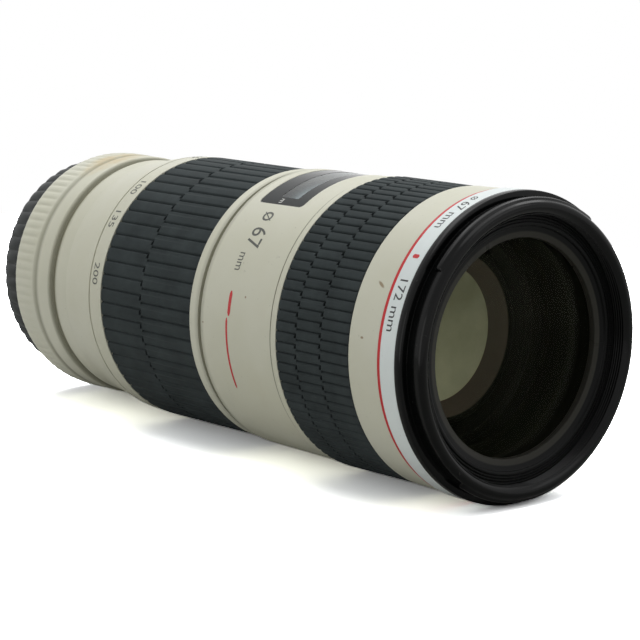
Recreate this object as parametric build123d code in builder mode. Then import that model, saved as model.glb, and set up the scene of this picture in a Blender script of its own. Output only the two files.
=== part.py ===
from build123d import *
import math
import os

os.makedirs("parts", exist_ok=True)

# A white telephoto zoom lens, lying with its optical axis along X.
# +X looks out of the front glass, +Z is the side of the distance window, and the
# origin is the centre of the mount flange. Angles about the axis are in degrees,
# counter-clockwise from +Y as seen from the front, so the window stands at 90.
# The length runs from the mount to the front as one chain of named lengths, and
# the radii grow outwards from the guide barrel's bore and from the filter thread.

# Clearances, in mm like every length here
run_gap = 0.1  # a turning or sliding piece in what it runs in
open_gap = 0.3  # pieces that move past each other without touching
seat_gap = 0.05  # round a piece that is fixed in a bore
shadow_gap = 0.4  # the visible line between two rings
overrun = 1.0  # how far a cutting shape runs past the surface that it cuts

# Outer lengths, from the mount to the front
collar_setback = 0.8
collar_length = 16.8
collar_ribs_length = 9.4
collar_line_width = 0.8
waist_groove_length = 2.9
seat_length = 4.6
taper_length = 14.6
strip_length = 5.3
zoom_grip_length = 39.35
zoom_rim_length = 3.45
neck_length = 1.8
main_length = 28.3
focus_rim_length = 1.95
focus_grip_length = 27.3
skirt_length = 10.55
red_ring_width = 1.2
band_length = 5.0
front_ring_length = 7.0

collar_front_x = collar_setback + collar_length
seat_rear_x = collar_front_x + waist_groove_length
taper_rear_x = seat_rear_x + seat_length
taper_front_x = taper_rear_x + taper_length
zoom_rear_x = taper_front_x + shadow_gap
zoom_grip_rear_x = zoom_rear_x + strip_length
zoom_grip_front_x = zoom_grip_rear_x + zoom_grip_length
zoom_front_x = zoom_grip_front_x + zoom_rim_length
main_rear_x = zoom_front_x + neck_length
main_front_x = main_rear_x + main_length
focus_rear_x = main_front_x + shadow_gap
focus_grip_rear_x = focus_rear_x + focus_rim_length
focus_grip_front_x = focus_grip_rear_x + focus_grip_length
skirt_rear_x = focus_grip_front_x + open_gap
red_rear_x = skirt_rear_x + skirt_length
band_rear_x = red_rear_x + red_ring_width
front_rear_x = band_rear_x + band_length
lens_front_x = front_rear_x + front_ring_length

# Radii that grow from the bore of the guide barrel
guide_bore = 29.0
guide_wall = 1.3
cam_wall = 1.4
sleeve_room = 1.0
zoom_sleeve_wall = 2.1
zoom_grip_thickness = 1.25
zoom_grip_step = 0.2
spigot_room = 0.6
spigot_wall = 0.9
collar_wall = 2.25
seat_room = 1.2
seat_wall = 1.75
taper_rise = 2.65

guide_outer = guide_bore + guide_wall
cam_bore = guide_outer + run_gap
cam_outer = cam_bore + cam_wall
zoom_sleeve_bore = cam_outer + sleeve_room
zoom_seat_radius = zoom_sleeve_bore + zoom_sleeve_wall
zoom_grip_radius = zoom_seat_radius + zoom_grip_thickness
spigot_bore = guide_outer + spigot_room
spigot_outer = spigot_bore + spigot_wall
collar_bore = spigot_outer + seat_gap
collar_radius = collar_bore + collar_wall
seat_bore = guide_outer + seat_room
seat_radius = seat_bore + seat_wall
taper_radius = seat_radius + taper_rise

# The tube that carries the focusing parts, and the shells round it
front_tube_wall = 2.5
cam_room = 0.4
focus_cam_wall = 1.9
drum_room = 0.4
drum_wall = 0.6
shell_room = 0.45
shell_wall = 1.5
shell_taper = 0.35
focus_sleeve_wall = 2.0
focus_grip_thickness = 1.45
focus_rim_drop = 0.2

focus_cam_bore = guide_bore + cam_room
focus_cam_outer = focus_cam_bore + focus_cam_wall
front_tube_bore = focus_cam_outer + run_gap
front_tube_outer = front_tube_bore + front_tube_wall
drum_bore = front_tube_outer + drum_room
drum_outer = drum_bore + drum_wall
shell_bore = drum_outer + shell_room
shell_rear_radius = shell_bore + shell_wall
shell_front_radius = shell_rear_radius + shell_taper
focus_sleeve_bore = front_tube_outer + open_gap
focus_seat_radius = focus_sleeve_bore + focus_sleeve_wall
focus_grip_radius = focus_seat_radius + focus_grip_thickness
focus_rim_radius = focus_grip_radius - focus_rim_drop

# Radii of the front, that grow from the filter thread
thread_radius = 33.1
cell_margin = 0.9
spigot_ring_wall = 1.6
ring_seat_wall = 1.2
skirt_height = 1.2
skirt_taper = 0.3
front_ring_rise = 0.4

front_cell_radius = thread_radius + cell_margin
front_bore = front_cell_radius + seat_gap
front_spigot_radius = front_bore + spigot_ring_wall
ring_seat_bore = front_spigot_radius + seat_gap
ring_seat_radius = ring_seat_bore + ring_seat_wall
skirt_front_radius = ring_seat_radius + skirt_height
skirt_rear_radius = skirt_front_radius - skirt_taper
front_ring_radius = skirt_front_radius + front_ring_rise


def radial_plane(angle):
    """The plane through the optical axis that stands at this angle about it."""
    turned = math.radians(angle)
    upright = (0, -math.sin(turned), math.cos(turned))
    return Plane(origin=(0, 0, 0), x_dir=(1, 0, 0), z_dir=upright)


def tangent_plane(x, angle, radius):
    """The plane that touches a circle round the axis, with its normal outwards."""
    turned = math.radians(angle)
    outward = (0, math.cos(turned), math.sin(turned))
    origin = (x, radius * outward[1], radius * outward[2])
    return Plane(origin=origin, x_dir=(1, 0, 0), z_dir=outward)


def box_outline(rear_x, front_x, inner, outer):
    """The four corners of a plain ring's section."""
    return [(rear_x, inner), (front_x, inner), (front_x, outer), (rear_x, outer)]


def turned_ring(outline, start=0, arc=360, mode=Mode.ADD):
    """Turn an outline of (x, radius) points about the optical axis."""
    with BuildSketch(radial_plane(start)) as section:
        with BuildLine():
            Polyline(*outline, close=True)
        make_face()
    revolve(section.sketch, axis=Axis.X, revolution_arc=arc, mode=mode)


def sector(outline, centre, width, mode=Mode.ADD):
    """Turn an outline through a part of a circle, centred on an angle."""
    turned_ring(outline, start=centre - width / 2, arc=width, mode=mode)


def round_pattern(x, length, circle, count, radius, start=0, mode=Mode.ADD):
    """Round bars or holes along X, evenly spaced on a circle."""
    with BuildSketch(Plane.YZ.offset(x)) as section:
        with PolarLocations(circle, count, start_angle=start):
            Circle(radius)
    extrude(section.sketch, amount=length, mode=mode)


def radial_pins(x, inner, outer, radius, angles, mode=Mode.ADD):
    """Round pins or holes that point away from the optical axis."""
    for angle in angles:
        with BuildSketch(tangent_plane(x, angle, inner)) as section:
            Circle(radius)
        extrude(section.sketch, amount=outer - inner, mode=mode)


def straight_slots(rear_x, front_x, inner, outer, half_width, angles):
    """Cut slots with round ends along X through a tube's wall."""
    middle_x = (rear_x + front_x) / 2
    for angle in angles:
        with BuildSketch(tangent_plane(middle_x, angle, inner - overrun)) as section:
            SlotCenterToCenter(front_x - rear_x, 2 * half_width)
        extrude(section.sketch, amount=outer - inner + 2 * overrun, mode=Mode.SUBTRACT)


def helical_slot(start_x, travel, start_angle, turn_angle, inner, outer, half_width):
    """The shapes that cut one helical slot: its run, and a round end at each side."""
    turned = math.radians(start_angle)
    radial = (0, math.cos(turned), math.sin(turned))
    forward = math.copysign(1, travel)
    depth = outer - inner + 2 * overrun
    start = Plane(origin=(start_x, 0, 0), x_dir=radial, z_dir=(forward, 0, 0))
    path = start * Helix(
        pitch=abs(travel) * 360 / abs(turn_angle),
        height=abs(travel),
        radius=(inner + outer) / 2,
        lefthand=travel * turn_angle < 0,
    )
    section_plane = Plane(origin=path @ 0, x_dir=radial, z_dir=path % 0)
    run = sweep(section_plane * Rectangle(depth, 2 * half_width), path=path, is_frenet=True)
    shapes = [run]
    for x, angle in ((start_x, start_angle), (start_x + travel, start_angle + turn_angle)):
        middle = tangent_plane(x, angle, (inner + outer) / 2)
        shapes.append(middle * Cylinder(half_width + seat_gap, depth))
    return shapes


def sagitta(rim_radius, rise, height):
    """How far a lens surface has fallen back from its vertex at a height off the axis."""
    sphere = (rim_radius**2 + rise**2) / (2 * rise)
    return sphere - math.copysign(math.sqrt(sphere**2 - height**2), sphere)


def lens_element(rim_rear_x, rim_front_x, rim_radius, front_rise, rear_rise):
    """One glass element: a cylinder's rim between two spherical surfaces."""
    half = rim_radius / 2
    rear_vertex = rim_rear_x - rear_rise
    front_vertex = rim_front_x + front_rise
    front_middle = (front_vertex - sagitta(rim_radius, front_rise, half), half)
    rear_middle = (rear_vertex + sagitta(rim_radius, rear_rise, half), half)
    with BuildSketch(Plane.XY) as section:
        with BuildLine():
            Line((rear_vertex, 0), (front_vertex, 0))
            ThreePointArc((front_vertex, 0), front_middle, (rim_front_x, rim_radius))
            Line((rim_front_x, rim_radius), (rim_rear_x, rim_radius))
            ThreePointArc((rim_rear_x, rim_radius), rear_middle, (rear_vertex, 0))
        make_face()
    revolve(section.sketch, axis=Axis.X)


# Where a grip bar's two upper corners and its groove's floor stand, in shares of a pitch
groove_shares = (0.0, 0.78, 0.89)


def grip_band(rear_x, length, inner, outer, groove_depth, count, shift):
    """A band of raised bars with narrow grooves between them, shifted by a share."""
    pitch = 360 / count
    corners = []
    for bar in range(count):
        first = (bar + shift) * pitch
        for share, radius in zip(groove_shares, (outer, outer, outer - groove_depth)):
            angle = math.radians(first + share * pitch)
            corners.append((radius * math.cos(angle), radius * math.sin(angle)))
    with BuildSketch(Plane.YZ.offset(rear_x)) as section:
        with BuildLine():
            Polyline(*corners, close=True)
        make_face()
        Circle(inner, mode=Mode.SUBTRACT)
    extrude(section.sketch, amount=length)


# Bayonet mount: the metal flange, its sleeve and three lugs
flange_width = 6.2
sleeve_wall = 1.2
sleeve_depth = 4.4
mount_thickness = 2.4
lug_height = 1.5
lug_thickness = 1.8
lug_arc_angle = 56
lug_angles = (90, 210, 330)
flange_margin = 0.2
mount_screw_radius = 0.9
mount_screw_head = 1.8
mount_screw_length = 4.6
mount_screw_count = 4
mount_screw_angle = 45
lock_notch_radius = 1.1
lock_notch_depth = 1.2
lock_notch_angle = 250

flange_radius = spigot_outer - flange_margin
throat_radius = flange_radius - flange_width
throat_bore = throat_radius - sleeve_wall
screw_circle = (throat_radius + flange_radius) / 2
head_depth = mount_screw_head - mount_screw_radius

with BuildPart() as lens_mount:
    turned_ring(
        [
            (-sleeve_depth, throat_bore),
            (mount_thickness, throat_bore),
            (mount_thickness, flange_radius),
            (0, flange_radius),
            (0, throat_radius),
            (-sleeve_depth, throat_radius),
        ]
    )
    lug_front_x = lug_thickness - sleeve_depth
    lug_section = box_outline(-sleeve_depth, lug_front_x, throat_bore, throat_radius + lug_height)
    for lug_angle in lug_angles:
        sector(lug_section, lug_angle, lug_arc_angle)
    round_pattern(
        0, mount_thickness, screw_circle, mount_screw_count,
        mount_screw_radius + seat_gap, mount_screw_angle, Mode.SUBTRACT,
    )
    with BuildSketch(Plane.YZ) as head_seats:
        with PolarLocations(screw_circle, mount_screw_count, start_angle=mount_screw_angle):
            Circle(mount_screw_head + seat_gap)
    extrude(head_seats.sketch, amount=head_depth, taper=45, mode=Mode.SUBTRACT)
    round_pattern(
        0, lock_notch_depth, screw_circle, 1, lock_notch_radius, lock_notch_angle, Mode.SUBTRACT
    )

with BuildPart() as mount_screws:
    with BuildSketch(Plane.YZ) as heads:
        with PolarLocations(screw_circle, mount_screw_count, start_angle=mount_screw_angle):
            Circle(mount_screw_head)
    extrude(heads.sketch, amount=head_depth, taper=45)
    round_pattern(
        head_depth, mount_screw_length - head_depth, screw_circle, mount_screw_count,
        mount_screw_radius, mount_screw_angle,
    )

# Rubber seal that stands just proud of the flange, against the collar's rear face
gasket_width = 0.7
gasket_proud = 0.3

with BuildPart() as mount_gasket:
    gasket_bore = flange_radius + seat_gap
    turned_ring(box_outline(-gasket_proud, collar_setback, gasket_bore, gasket_bore + gasket_width))

# Rear barrel: a spigot inside the collar, a web, the tripod seat and the taper
rear_plate = 2.6
rear_plate_margin = 1.1
boss_length = 4.0
boss_radius = 1.7
boss_margin = 0.6
boss_count = 3
boss_angle = 90
web_thickness = 2.4
web_proud = 0.5
rear_cell_bore = 22.05
taper_wall = 1.7
taper_shoulder = 1.7
shoulder_drop = 0.25

rear_plate_bore = throat_radius + rear_plate_margin
rear_plate_x = mount_thickness
web_front_x = seat_rear_x + web_proud
web_rear_x = web_front_x - web_thickness
boss_circle = spigot_bore - boss_margin - boss_radius

with BuildPart() as rear_barrel:
    turned_ring(
        [
            (rear_plate_x, rear_plate_bore),
            (rear_plate_x + rear_plate, rear_plate_bore),
            (rear_plate_x + rear_plate, spigot_bore),
            (web_rear_x, spigot_bore),
            (web_rear_x, rear_cell_bore),
            (web_front_x, rear_cell_bore),
            (web_front_x, seat_bore),
            (taper_rear_x, seat_bore),
            (taper_front_x, taper_radius - taper_wall),
            (taper_front_x, taper_radius),
            (taper_front_x - taper_shoulder, taper_radius - shoulder_drop),
            (taper_rear_x, seat_radius),
            (seat_rear_x, seat_radius),
            (seat_rear_x, spigot_outer),
            (rear_plate_x, spigot_outer),
        ]
    )
    round_pattern(
        rear_plate_x + rear_plate, boss_length, boss_circle, boss_count, boss_radius, boss_angle
    )
    round_pattern(
        rear_plate_x - overrun, mount_screw_length - rear_plate_x + overrun, screw_circle,
        mount_screw_count, mount_screw_radius + seat_gap, mount_screw_angle, Mode.SUBTRACT,
    )

# Ribbed collar that is held while the lens is turned in its mount
collar_rib_count = 88
collar_rib_depth = 0.35
collar_band_drop = 0.15
collar_line_depth = 0.3

with BuildPart() as mount_collar:
    ribs_front_x = collar_setback + collar_ribs_length
    line_front_x = ribs_front_x + collar_line_width
    grip_band(
        collar_setback, collar_ribs_length, collar_bore, collar_radius,
        collar_rib_depth, collar_rib_count, 0,
    )
    turned_ring(
        [
            (ribs_front_x, collar_bore),
            (collar_front_x, collar_bore),
            (collar_front_x, collar_radius - collar_band_drop),
            (line_front_x, collar_radius - collar_band_drop),
            (line_front_x, collar_radius - collar_line_depth - collar_band_drop),
            (ribs_front_x, collar_radius - collar_line_depth - collar_band_drop),
        ]
    )

# Light baffle behind the rear glass, with the contact block let into it
baffle_plate = 1.6
baffle_lip = 0.8
baffle_skirt_wall = 1.4
baffle_depth = 6.4
baffle_skirt_reach = 2.0
baffle_window_width = 34.0
baffle_window_height = 27.0
baffle_window_corner = 8.0
contact_margin = 1.8
contact_height = 4.2
contact_rear_x = -7.0
contact_front_x = -3.6
contact_arc_angle = 62
contact_gap_angle = 1
contact_angle = 270
pin_radius = 0.75
pin_proud = 0.35
pin_sunk = 1.6
pin_count = 8
pin_step_angle = 7.2

contact_outer = throat_bore - contact_margin
contact_inner = contact_outer - contact_height

with BuildPart() as rear_baffle:
    skirt_outer = throat_bore - seat_gap
    turned_ring(
        [
            (-baffle_depth, 0),
            (baffle_plate - baffle_depth, 0),
            (baffle_plate - baffle_depth, skirt_outer - baffle_skirt_wall),
            (baffle_skirt_reach, skirt_outer - baffle_skirt_wall),
            (baffle_skirt_reach, skirt_outer),
            (-sleeve_depth - seat_gap, skirt_outer),
            (-sleeve_depth - seat_gap, skirt_outer + baffle_lip),
            (-baffle_depth, skirt_outer + baffle_lip),
        ]
    )
    with BuildSketch(Plane.YZ.offset(-baffle_depth)):
        RectangleRounded(baffle_window_width, baffle_window_height, baffle_window_corner)
    extrude(amount=baffle_plate, mode=Mode.SUBTRACT)
    sector(
        box_outline(
            -baffle_depth - overrun, baffle_plate - baffle_depth + overrun,
            contact_inner - seat_gap, contact_outer + seat_gap,
        ),
        contact_angle, contact_arc_angle + contact_gap_angle, Mode.SUBTRACT,
    )

pin_angles = [contact_angle + pin_step_angle * (place - (pin_count - 1) / 2) for place in range(pin_count)]
pin_circle = (contact_inner + contact_outer) / 2

with BuildPart() as contact_block:
    sector(
        box_outline(contact_rear_x, contact_front_x, contact_inner, contact_outer),
        contact_angle, contact_arc_angle,
    )
    for pin_angle in pin_angles:
        round_pattern(
            contact_rear_x, pin_sunk, pin_circle, 1, pin_radius + seat_gap, pin_angle, Mode.SUBTRACT
        )

with BuildPart() as contact_pins:
    for pin_angle in pin_angles:
        round_pattern(
            contact_rear_x - pin_proud, pin_sunk + pin_proud, pin_circle, 1, pin_radius, pin_angle
        )

# Ring-shaped circuit board on the rear barrel's three bosses
board_thickness = 1.2
board_bore = 23.0
board_margin = 0.4
chip_side = 5.0
chip_height = 1.0
chip_angles = (30, 150, 200)

board_rear_x = rear_plate_x + rear_plate + boss_length
board_outer = spigot_bore - board_margin

with BuildPart() as main_board:
    turned_ring(box_outline(board_rear_x, board_rear_x + board_thickness, board_bore, board_outer))
    board_front = Plane.YZ.offset(board_rear_x + board_thickness)
    for chip_angle in chip_angles:
        with BuildSketch(board_front) as chip:
            with PolarLocations((board_bore + board_outer) / 2, 1, start_angle=chip_angle):
                Rectangle(chip_side, chip_side)
        extrude(chip.sketch, amount=chip_height)

# Rear lens group, in a cell that stands in the web's bore
rear_cell_wall = 2.6
rear_cell_rear_x = 3.0
rear_cell_lip = 1.5
rear_flange_thickness = 1.2
rear_flange_height = 3.8
rear_element_thickness = 4.0
rear_element_rise = 1.4
inner_element_thickness = 5.0
inner_element_rise = 1.8

rear_cell_radius = rear_cell_bore - seat_gap
rear_lens_seat = rear_cell_radius - rear_cell_wall
rear_lens_radius = rear_lens_seat - seat_gap
rear_cell_front_x = web_front_x + rear_flange_thickness

with BuildPart() as rear_cell:
    turned_ring(
        [
            (rear_cell_rear_x, rear_lens_seat - rear_cell_lip),
            (rear_cell_rear_x + rear_cell_lip, rear_lens_seat - rear_cell_lip),
            (rear_cell_rear_x + rear_cell_lip, rear_lens_seat),
            (rear_cell_front_x, rear_lens_seat),
            (rear_cell_front_x, rear_cell_radius + rear_flange_height),
            (web_front_x, rear_cell_radius + rear_flange_height),
            (web_front_x, rear_cell_radius),
            (rear_cell_rear_x, rear_cell_radius),
        ]
    )

with BuildPart() as rear_lenses:
    first_rim_x = rear_cell_rear_x + rear_cell_lip + seat_gap
    lens_element(
        first_rim_x, first_rim_x + rear_element_thickness, rear_lens_radius,
        rear_element_rise, -rear_element_rise,
    )
    second_front_x = rear_cell_front_x - rear_element_rise
    lens_element(
        second_front_x - inner_element_thickness, second_front_x, rear_lens_radius,
        -inner_element_rise, inner_element_rise,
    )

# Guide barrel: the fixed backbone, with straight slots that the rollers run in
roller_radius = 1.6
guide_flange = 2.5
main_web = 2.5
web_offset = 1.0
variator_setback = 6.5
variator_travel = 16.0
compensator_advance = 9.0
compensator_travel = 5.0
zoom_throw_angle = 78
variator_angles = (0, 120, 240)
compensator_angles = (60, 180, 300)

slot_half_width = roller_radius + run_gap
variator_x = main_rear_x - variator_setback
compensator_x = zoom_rear_x + compensator_advance
main_web_front_x = main_rear_x + web_offset + main_web
guide_front_x = main_web_front_x + guide_flange

with BuildPart() as guide_barrel:
    turned_ring(
        [
            (web_front_x, guide_bore),
            (guide_front_x, guide_bore),
            (guide_front_x, front_tube_outer),
            (main_web_front_x, front_tube_outer),
            (main_web_front_x, guide_outer),
            (web_front_x, guide_outer),
        ]
    )
    straight_slots(
        variator_x - variator_travel, variator_x, guide_bore, guide_outer,
        slot_half_width, variator_angles,
    )
    straight_slots(
        compensator_x, compensator_x + compensator_travel, guide_bore, guide_outer,
        slot_half_width, compensator_angles,
    )

# Cam barrel: turns with the zoom ring, and its helical slots drive the rollers
cam_margin = 4.6
key_web_thickness = 3.5
key_web_setback = 5.0
key_screw_radius = 1.1
key_screw_head = 2.0
key_head_height = 1.0
key_screw_grip = 0.9
key_angles = (30, 150, 270)

cam_rear_x = compensator_x - cam_margin
cam_front_x = zoom_front_x - shadow_gap
key_web_x = zoom_grip_front_x - key_web_setback
key_screw_x = key_web_x + key_web_thickness / 2
key_screw_inner = cam_outer - key_screw_grip
key_head_top = zoom_seat_radius - run_gap

cam_slots = []
for slot_angle in variator_angles:
    cam_slots += helical_slot(
        variator_x, -variator_travel, slot_angle, zoom_throw_angle, cam_bore, cam_outer, slot_half_width
    )
for slot_angle in compensator_angles:
    cam_slots += helical_slot(
        compensator_x, compensator_travel, slot_angle, zoom_throw_angle, cam_bore, cam_outer,
        slot_half_width,
    )

with BuildPart() as cam_barrel:
    turned_ring(box_outline(cam_rear_x, cam_front_x, cam_bore, cam_outer))
    for slot_shape in cam_slots:
        add(slot_shape, mode=Mode.SUBTRACT)
    radial_pins(
        key_screw_x, key_screw_inner - run_gap, cam_outer + overrun,
        key_screw_radius + seat_gap, key_angles, Mode.SUBTRACT,
    )

# Zoom ring: digit strip, seat for the rubber, front rim and the web on the cam barrel
strip_wall = 1.6

with BuildPart() as zoom_ring:
    turned_ring(
        [
            (zoom_rear_x, taper_radius - strip_wall),
            (zoom_rear_x, taper_radius),
            (zoom_grip_rear_x, zoom_grip_radius),
            (zoom_grip_rear_x, zoom_seat_radius),
            (zoom_grip_front_x, zoom_seat_radius),
            (zoom_grip_front_x, zoom_grip_radius + zoom_grip_step),
            (zoom_front_x, zoom_grip_radius + zoom_grip_step),
            (zoom_front_x, zoom_sleeve_bore),
            (key_web_x + key_web_thickness, zoom_sleeve_bore),
            (key_web_x + key_web_thickness, cam_outer + seat_gap),
            (key_web_x, cam_outer + seat_gap),
            (key_web_x, zoom_sleeve_bore),
            (zoom_grip_rear_x, zoom_sleeve_bore),
        ]
    )
    radial_pins(
        key_screw_x, cam_outer - overrun, zoom_seat_radius + overrun,
        key_screw_radius + seat_gap, key_angles, Mode.SUBTRACT,
    )
    radial_pins(
        key_screw_x, key_head_top - key_head_height, zoom_seat_radius + overrun,
        key_screw_head + seat_gap, key_angles, Mode.SUBTRACT,
    )

with BuildPart() as zoom_key_screws:
    radial_pins(key_screw_x, key_screw_inner, key_head_top, key_screw_radius, key_angles)
    radial_pins(
        key_screw_x, key_head_top - key_head_height, key_head_top, key_screw_head, key_angles
    )

# Zoom rubber: two bands of 60 bars, the second shifted by half a pitch
zoom_bar_count = 60
zoom_groove_depth = 0.6
zoom_tick_share = 0.449

with BuildPart() as zoom_grip:
    rubber_rear_x = zoom_grip_rear_x + seat_gap
    rubber_length = zoom_grip_length - 2 * seat_gap
    first_band = rubber_length * zoom_tick_share
    grip_band(
        rubber_rear_x, first_band, zoom_seat_radius + seat_gap, zoom_grip_radius,
        zoom_groove_depth, zoom_bar_count, 0,
    )
    grip_band(
        rubber_rear_x + first_band, rubber_length - first_band, zoom_seat_radius + seat_gap,
        zoom_grip_radius + zoom_grip_step, zoom_groove_depth, zoom_bar_count, 0.5,
    )

# Moving lens cells of the zoom: a land that slides in the guide barrel, a web and a seat
land_wall = 2.4
web_wall = 2.0
seat_tube_wall = 1.6
lens_lip = 1.2
roller_sunk = 2.0
variator_length = 13.0
variator_lens_radius = 17.0
variator_element = 3.6
variator_rise = 1.6
compensator_length = 10.0
compensator_lens_radius = 18.5
compensator_element = 4.2
compensator_rise = 1.5

land_radius = guide_bore - run_gap


def sliding_cell(middle_x, length, outer, lens_radius, roller_angles):
    """A lens cell's rings and the blind holes for its rollers."""
    rear_x = middle_x - length / 2
    front_x = middle_x + length / 2
    seat = lens_radius + seat_gap
    turned_ring(
        [
            (rear_x, outer),
            (front_x, outer),
            (front_x, outer - land_wall),
            (middle_x + web_wall / 2, outer - land_wall),
            (middle_x + web_wall / 2, seat + seat_tube_wall),
            (front_x, seat + seat_tube_wall),
            (front_x, seat),
            (rear_x + lens_lip, seat),
            (rear_x + lens_lip, seat - lens_lip),
            (rear_x, seat - lens_lip),
            (rear_x, seat + seat_tube_wall),
            (middle_x - web_wall / 2, seat + seat_tube_wall),
            (middle_x - web_wall / 2, outer - land_wall),
            (rear_x, outer - land_wall),
        ]
    )
    radial_pins(
        middle_x, outer - roller_sunk - seat_gap, outer + overrun,
        roller_radius + seat_gap, roller_angles, Mode.SUBTRACT,
    )


with BuildPart() as variator_cell:
    sliding_cell(
        variator_x, variator_length, land_radius, variator_lens_radius, variator_angles
    )

with BuildPart() as variator_rollers:
    radial_pins(
        variator_x, land_radius - roller_sunk, cam_outer - seat_gap, roller_radius, variator_angles
    )

with BuildPart() as variator_lenses:
    variator_rear_x = variator_x - variator_length / 2 + lens_lip + seat_gap
    lens_element(
        variator_rear_x, variator_rear_x + variator_element, variator_lens_radius,
        -variator_rise, -variator_rise / 2,
    )
    variator_front_x = variator_x + variator_length / 2
    lens_element(
        variator_front_x - variator_element, variator_front_x, variator_lens_radius,
        -variator_rise, variator_rise / 2,
    )

with BuildPart() as compensator_cell:
    sliding_cell(
        compensator_x, compensator_length, land_radius, compensator_lens_radius,
        compensator_angles,
    )

with BuildPart() as compensator_rollers:
    radial_pins(
        compensator_x, land_radius - roller_sunk, cam_outer - seat_gap, roller_radius,
        compensator_angles,
    )

with BuildPart() as compensator_lens:
    compensator_rear_x = compensator_x - compensator_length / 2 + lens_lip + seat_gap
    lens_element(
        compensator_rear_x, compensator_rear_x + compensator_element, compensator_lens_radius,
        compensator_rise, -compensator_rise / 2,
    )

# Stabiliser: a cup in the guide barrel, and two frames that slide on crossed rods
cup_floor = 2.4
cup_wall = 1.5
cup_depth = 11.4
cup_bore = 20.4
frame_thickness = 2.6
frame_lift = 0.6
rod_radius = 0.8
yaw_bore = 21.0
yaw_rim = 2.8
yaw_rod_z = 24.6
yaw_rod_half = 12.4
ear_half = 4.0
ear_margin = 1.4
pitch_rim = 3.6
pitch_bore = 16.95
pitch_rod_y = 22.8
pitch_rod_half = 8.8
post_half = 0.9
post_margin = 1.5

cup_rear_x = rear_cell_front_x + seat_gap
cup_radius = guide_bore - seat_gap
cup_floor_x = cup_rear_x + cup_floor
yaw_rear_x = cup_floor_x + frame_lift
yaw_front_x = yaw_rear_x + frame_thickness
yaw_middle_x = (yaw_rear_x + yaw_front_x) / 2
pitch_rear_x = yaw_front_x + frame_lift
pitch_front_x = pitch_rear_x + frame_thickness
pitch_middle_x = (pitch_rear_x + pitch_front_x) / 2
yaw_outer = yaw_bore + yaw_rim
pitch_outer = pitch_bore + pitch_rim


def block(x_range, y_range, z_range, mode=Mode.ADD):
    """A rectangular block between two places along each axis."""
    with BuildSketch(Plane.YZ.offset(x_range[0])) as section:
        with Locations((sum(y_range) / 2, sum(z_range) / 2)):
            Rectangle(y_range[1] - y_range[0], z_range[1] - z_range[0])
    extrude(section.sketch, amount=x_range[1] - x_range[0], mode=mode)


def rod_along_y(x, z, half_length, radius, mode=Mode.ADD):
    """A round bar along Y, centred on the vertical plane through the axis."""
    with BuildSketch(Plane.XZ.offset(-half_length)) as section:
        with Locations((x, z)):
            Circle(radius)
    extrude(section.sketch, amount=2 * half_length, mode=mode)


def rod_along_z(x, y, half_length, radius, mode=Mode.ADD):
    """A round bar along Z, centred on the level plane through the axis."""
    with BuildSketch(Plane.XY.offset(-half_length)) as section:
        with Locations((x, y)):
            Circle(radius)
    extrude(section.sketch, amount=2 * half_length, mode=mode)


with BuildPart() as stabiliser_cup:
    turned_ring(
        [
            (cup_rear_x, cup_bore),
            (cup_floor_x, cup_bore),
            (cup_floor_x, cup_radius - cup_wall),
            (cup_rear_x + cup_depth, cup_radius - cup_wall),
            (cup_rear_x + cup_depth, cup_radius),
            (cup_rear_x, cup_radius),
        ]
    )
    for side in (-1, 1):
        rod_along_y(yaw_middle_x, side * yaw_rod_z, yaw_rod_half, rod_radius)

with BuildPart() as yaw_frame:
    turned_ring(box_outline(yaw_rear_x, yaw_front_x, yaw_bore, yaw_outer))
    yaw_layer = (yaw_rear_x, yaw_front_x)
    post_layer = (yaw_rear_x, pitch_front_x)
    for side in (-1, 1):
        ear_ends = sorted((side * yaw_bore, side * (yaw_rod_z + ear_margin)))
        block(yaw_layer, (-ear_half, ear_half), ear_ends)
        post_ends = sorted((side * (pitch_rod_y - post_margin), side * (pitch_rod_y + post_margin)))
        for end in (-1, 1):
            post_place = end * (pitch_rod_half - post_half)
            block(post_layer, post_ends, (post_place - post_half, post_place + post_half))
    turned_ring(
        box_outline(yaw_rear_x - overrun, yaw_front_x + overrun, 0, yaw_bore), mode=Mode.SUBTRACT
    )
    for side in (-1, 1):
        rod_along_y(
            yaw_middle_x, side * yaw_rod_z, yaw_rod_half, rod_radius + run_gap, Mode.SUBTRACT
        )
        rod_along_z(pitch_middle_x, side * pitch_rod_y, pitch_rod_half, rod_radius)

with BuildPart() as pitch_frame:
    turned_ring(box_outline(pitch_rear_x, pitch_front_x, pitch_bore, pitch_outer))
    pitch_layer = (pitch_rear_x, pitch_front_x)
    for side in (-1, 1):
        ear_ends = sorted((side * (pitch_bore + overrun), side * (pitch_rod_y + ear_margin)))
        block(pitch_layer, ear_ends, (-ear_half, ear_half))
        rod_along_z(
            pitch_middle_x, side * pitch_rod_y, pitch_rod_half, rod_radius + run_gap, Mode.SUBTRACT
        )

stabiliser_rise = 1.2

with BuildPart() as stabiliser_lens:
    lens_element(
        pitch_rear_x, pitch_front_x, pitch_bore - seat_gap, stabiliser_rise, -stabiliser_rise
    )

# Iris: a housing, eight layered blades on its posts, and the ring that turns them
blade_count = 8
iris_floor = 1.2
iris_wall = 1.6
iris_setback = 0.4
iris_bore = 13.8
blade_inner = 13.6
blade_outer = 20.6
blade_thickness = 0.2
blade_layer = 0.3
blade_span_angle = 112
post_circle = 22.4
post_radius = 0.6
ear_radius = 1.5
drive_angle = -9
drive_radius = 0.55
blade_turn_angle = 30
ring_turn_angle = 25
ring_thickness = 1.2

iris_rear_x = cup_rear_x + cup_depth + iris_setback
iris_floor_x = iris_rear_x + iris_floor
blades_x = iris_floor_x + open_gap
ring_x = blades_x + blade_count * blade_layer + open_gap
iris_front_x = ring_x + ring_thickness + run_gap
iris_ring_radius = guide_bore - seat_gap - iris_wall - run_gap
blade_step_angle = 360 / blade_count


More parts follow.
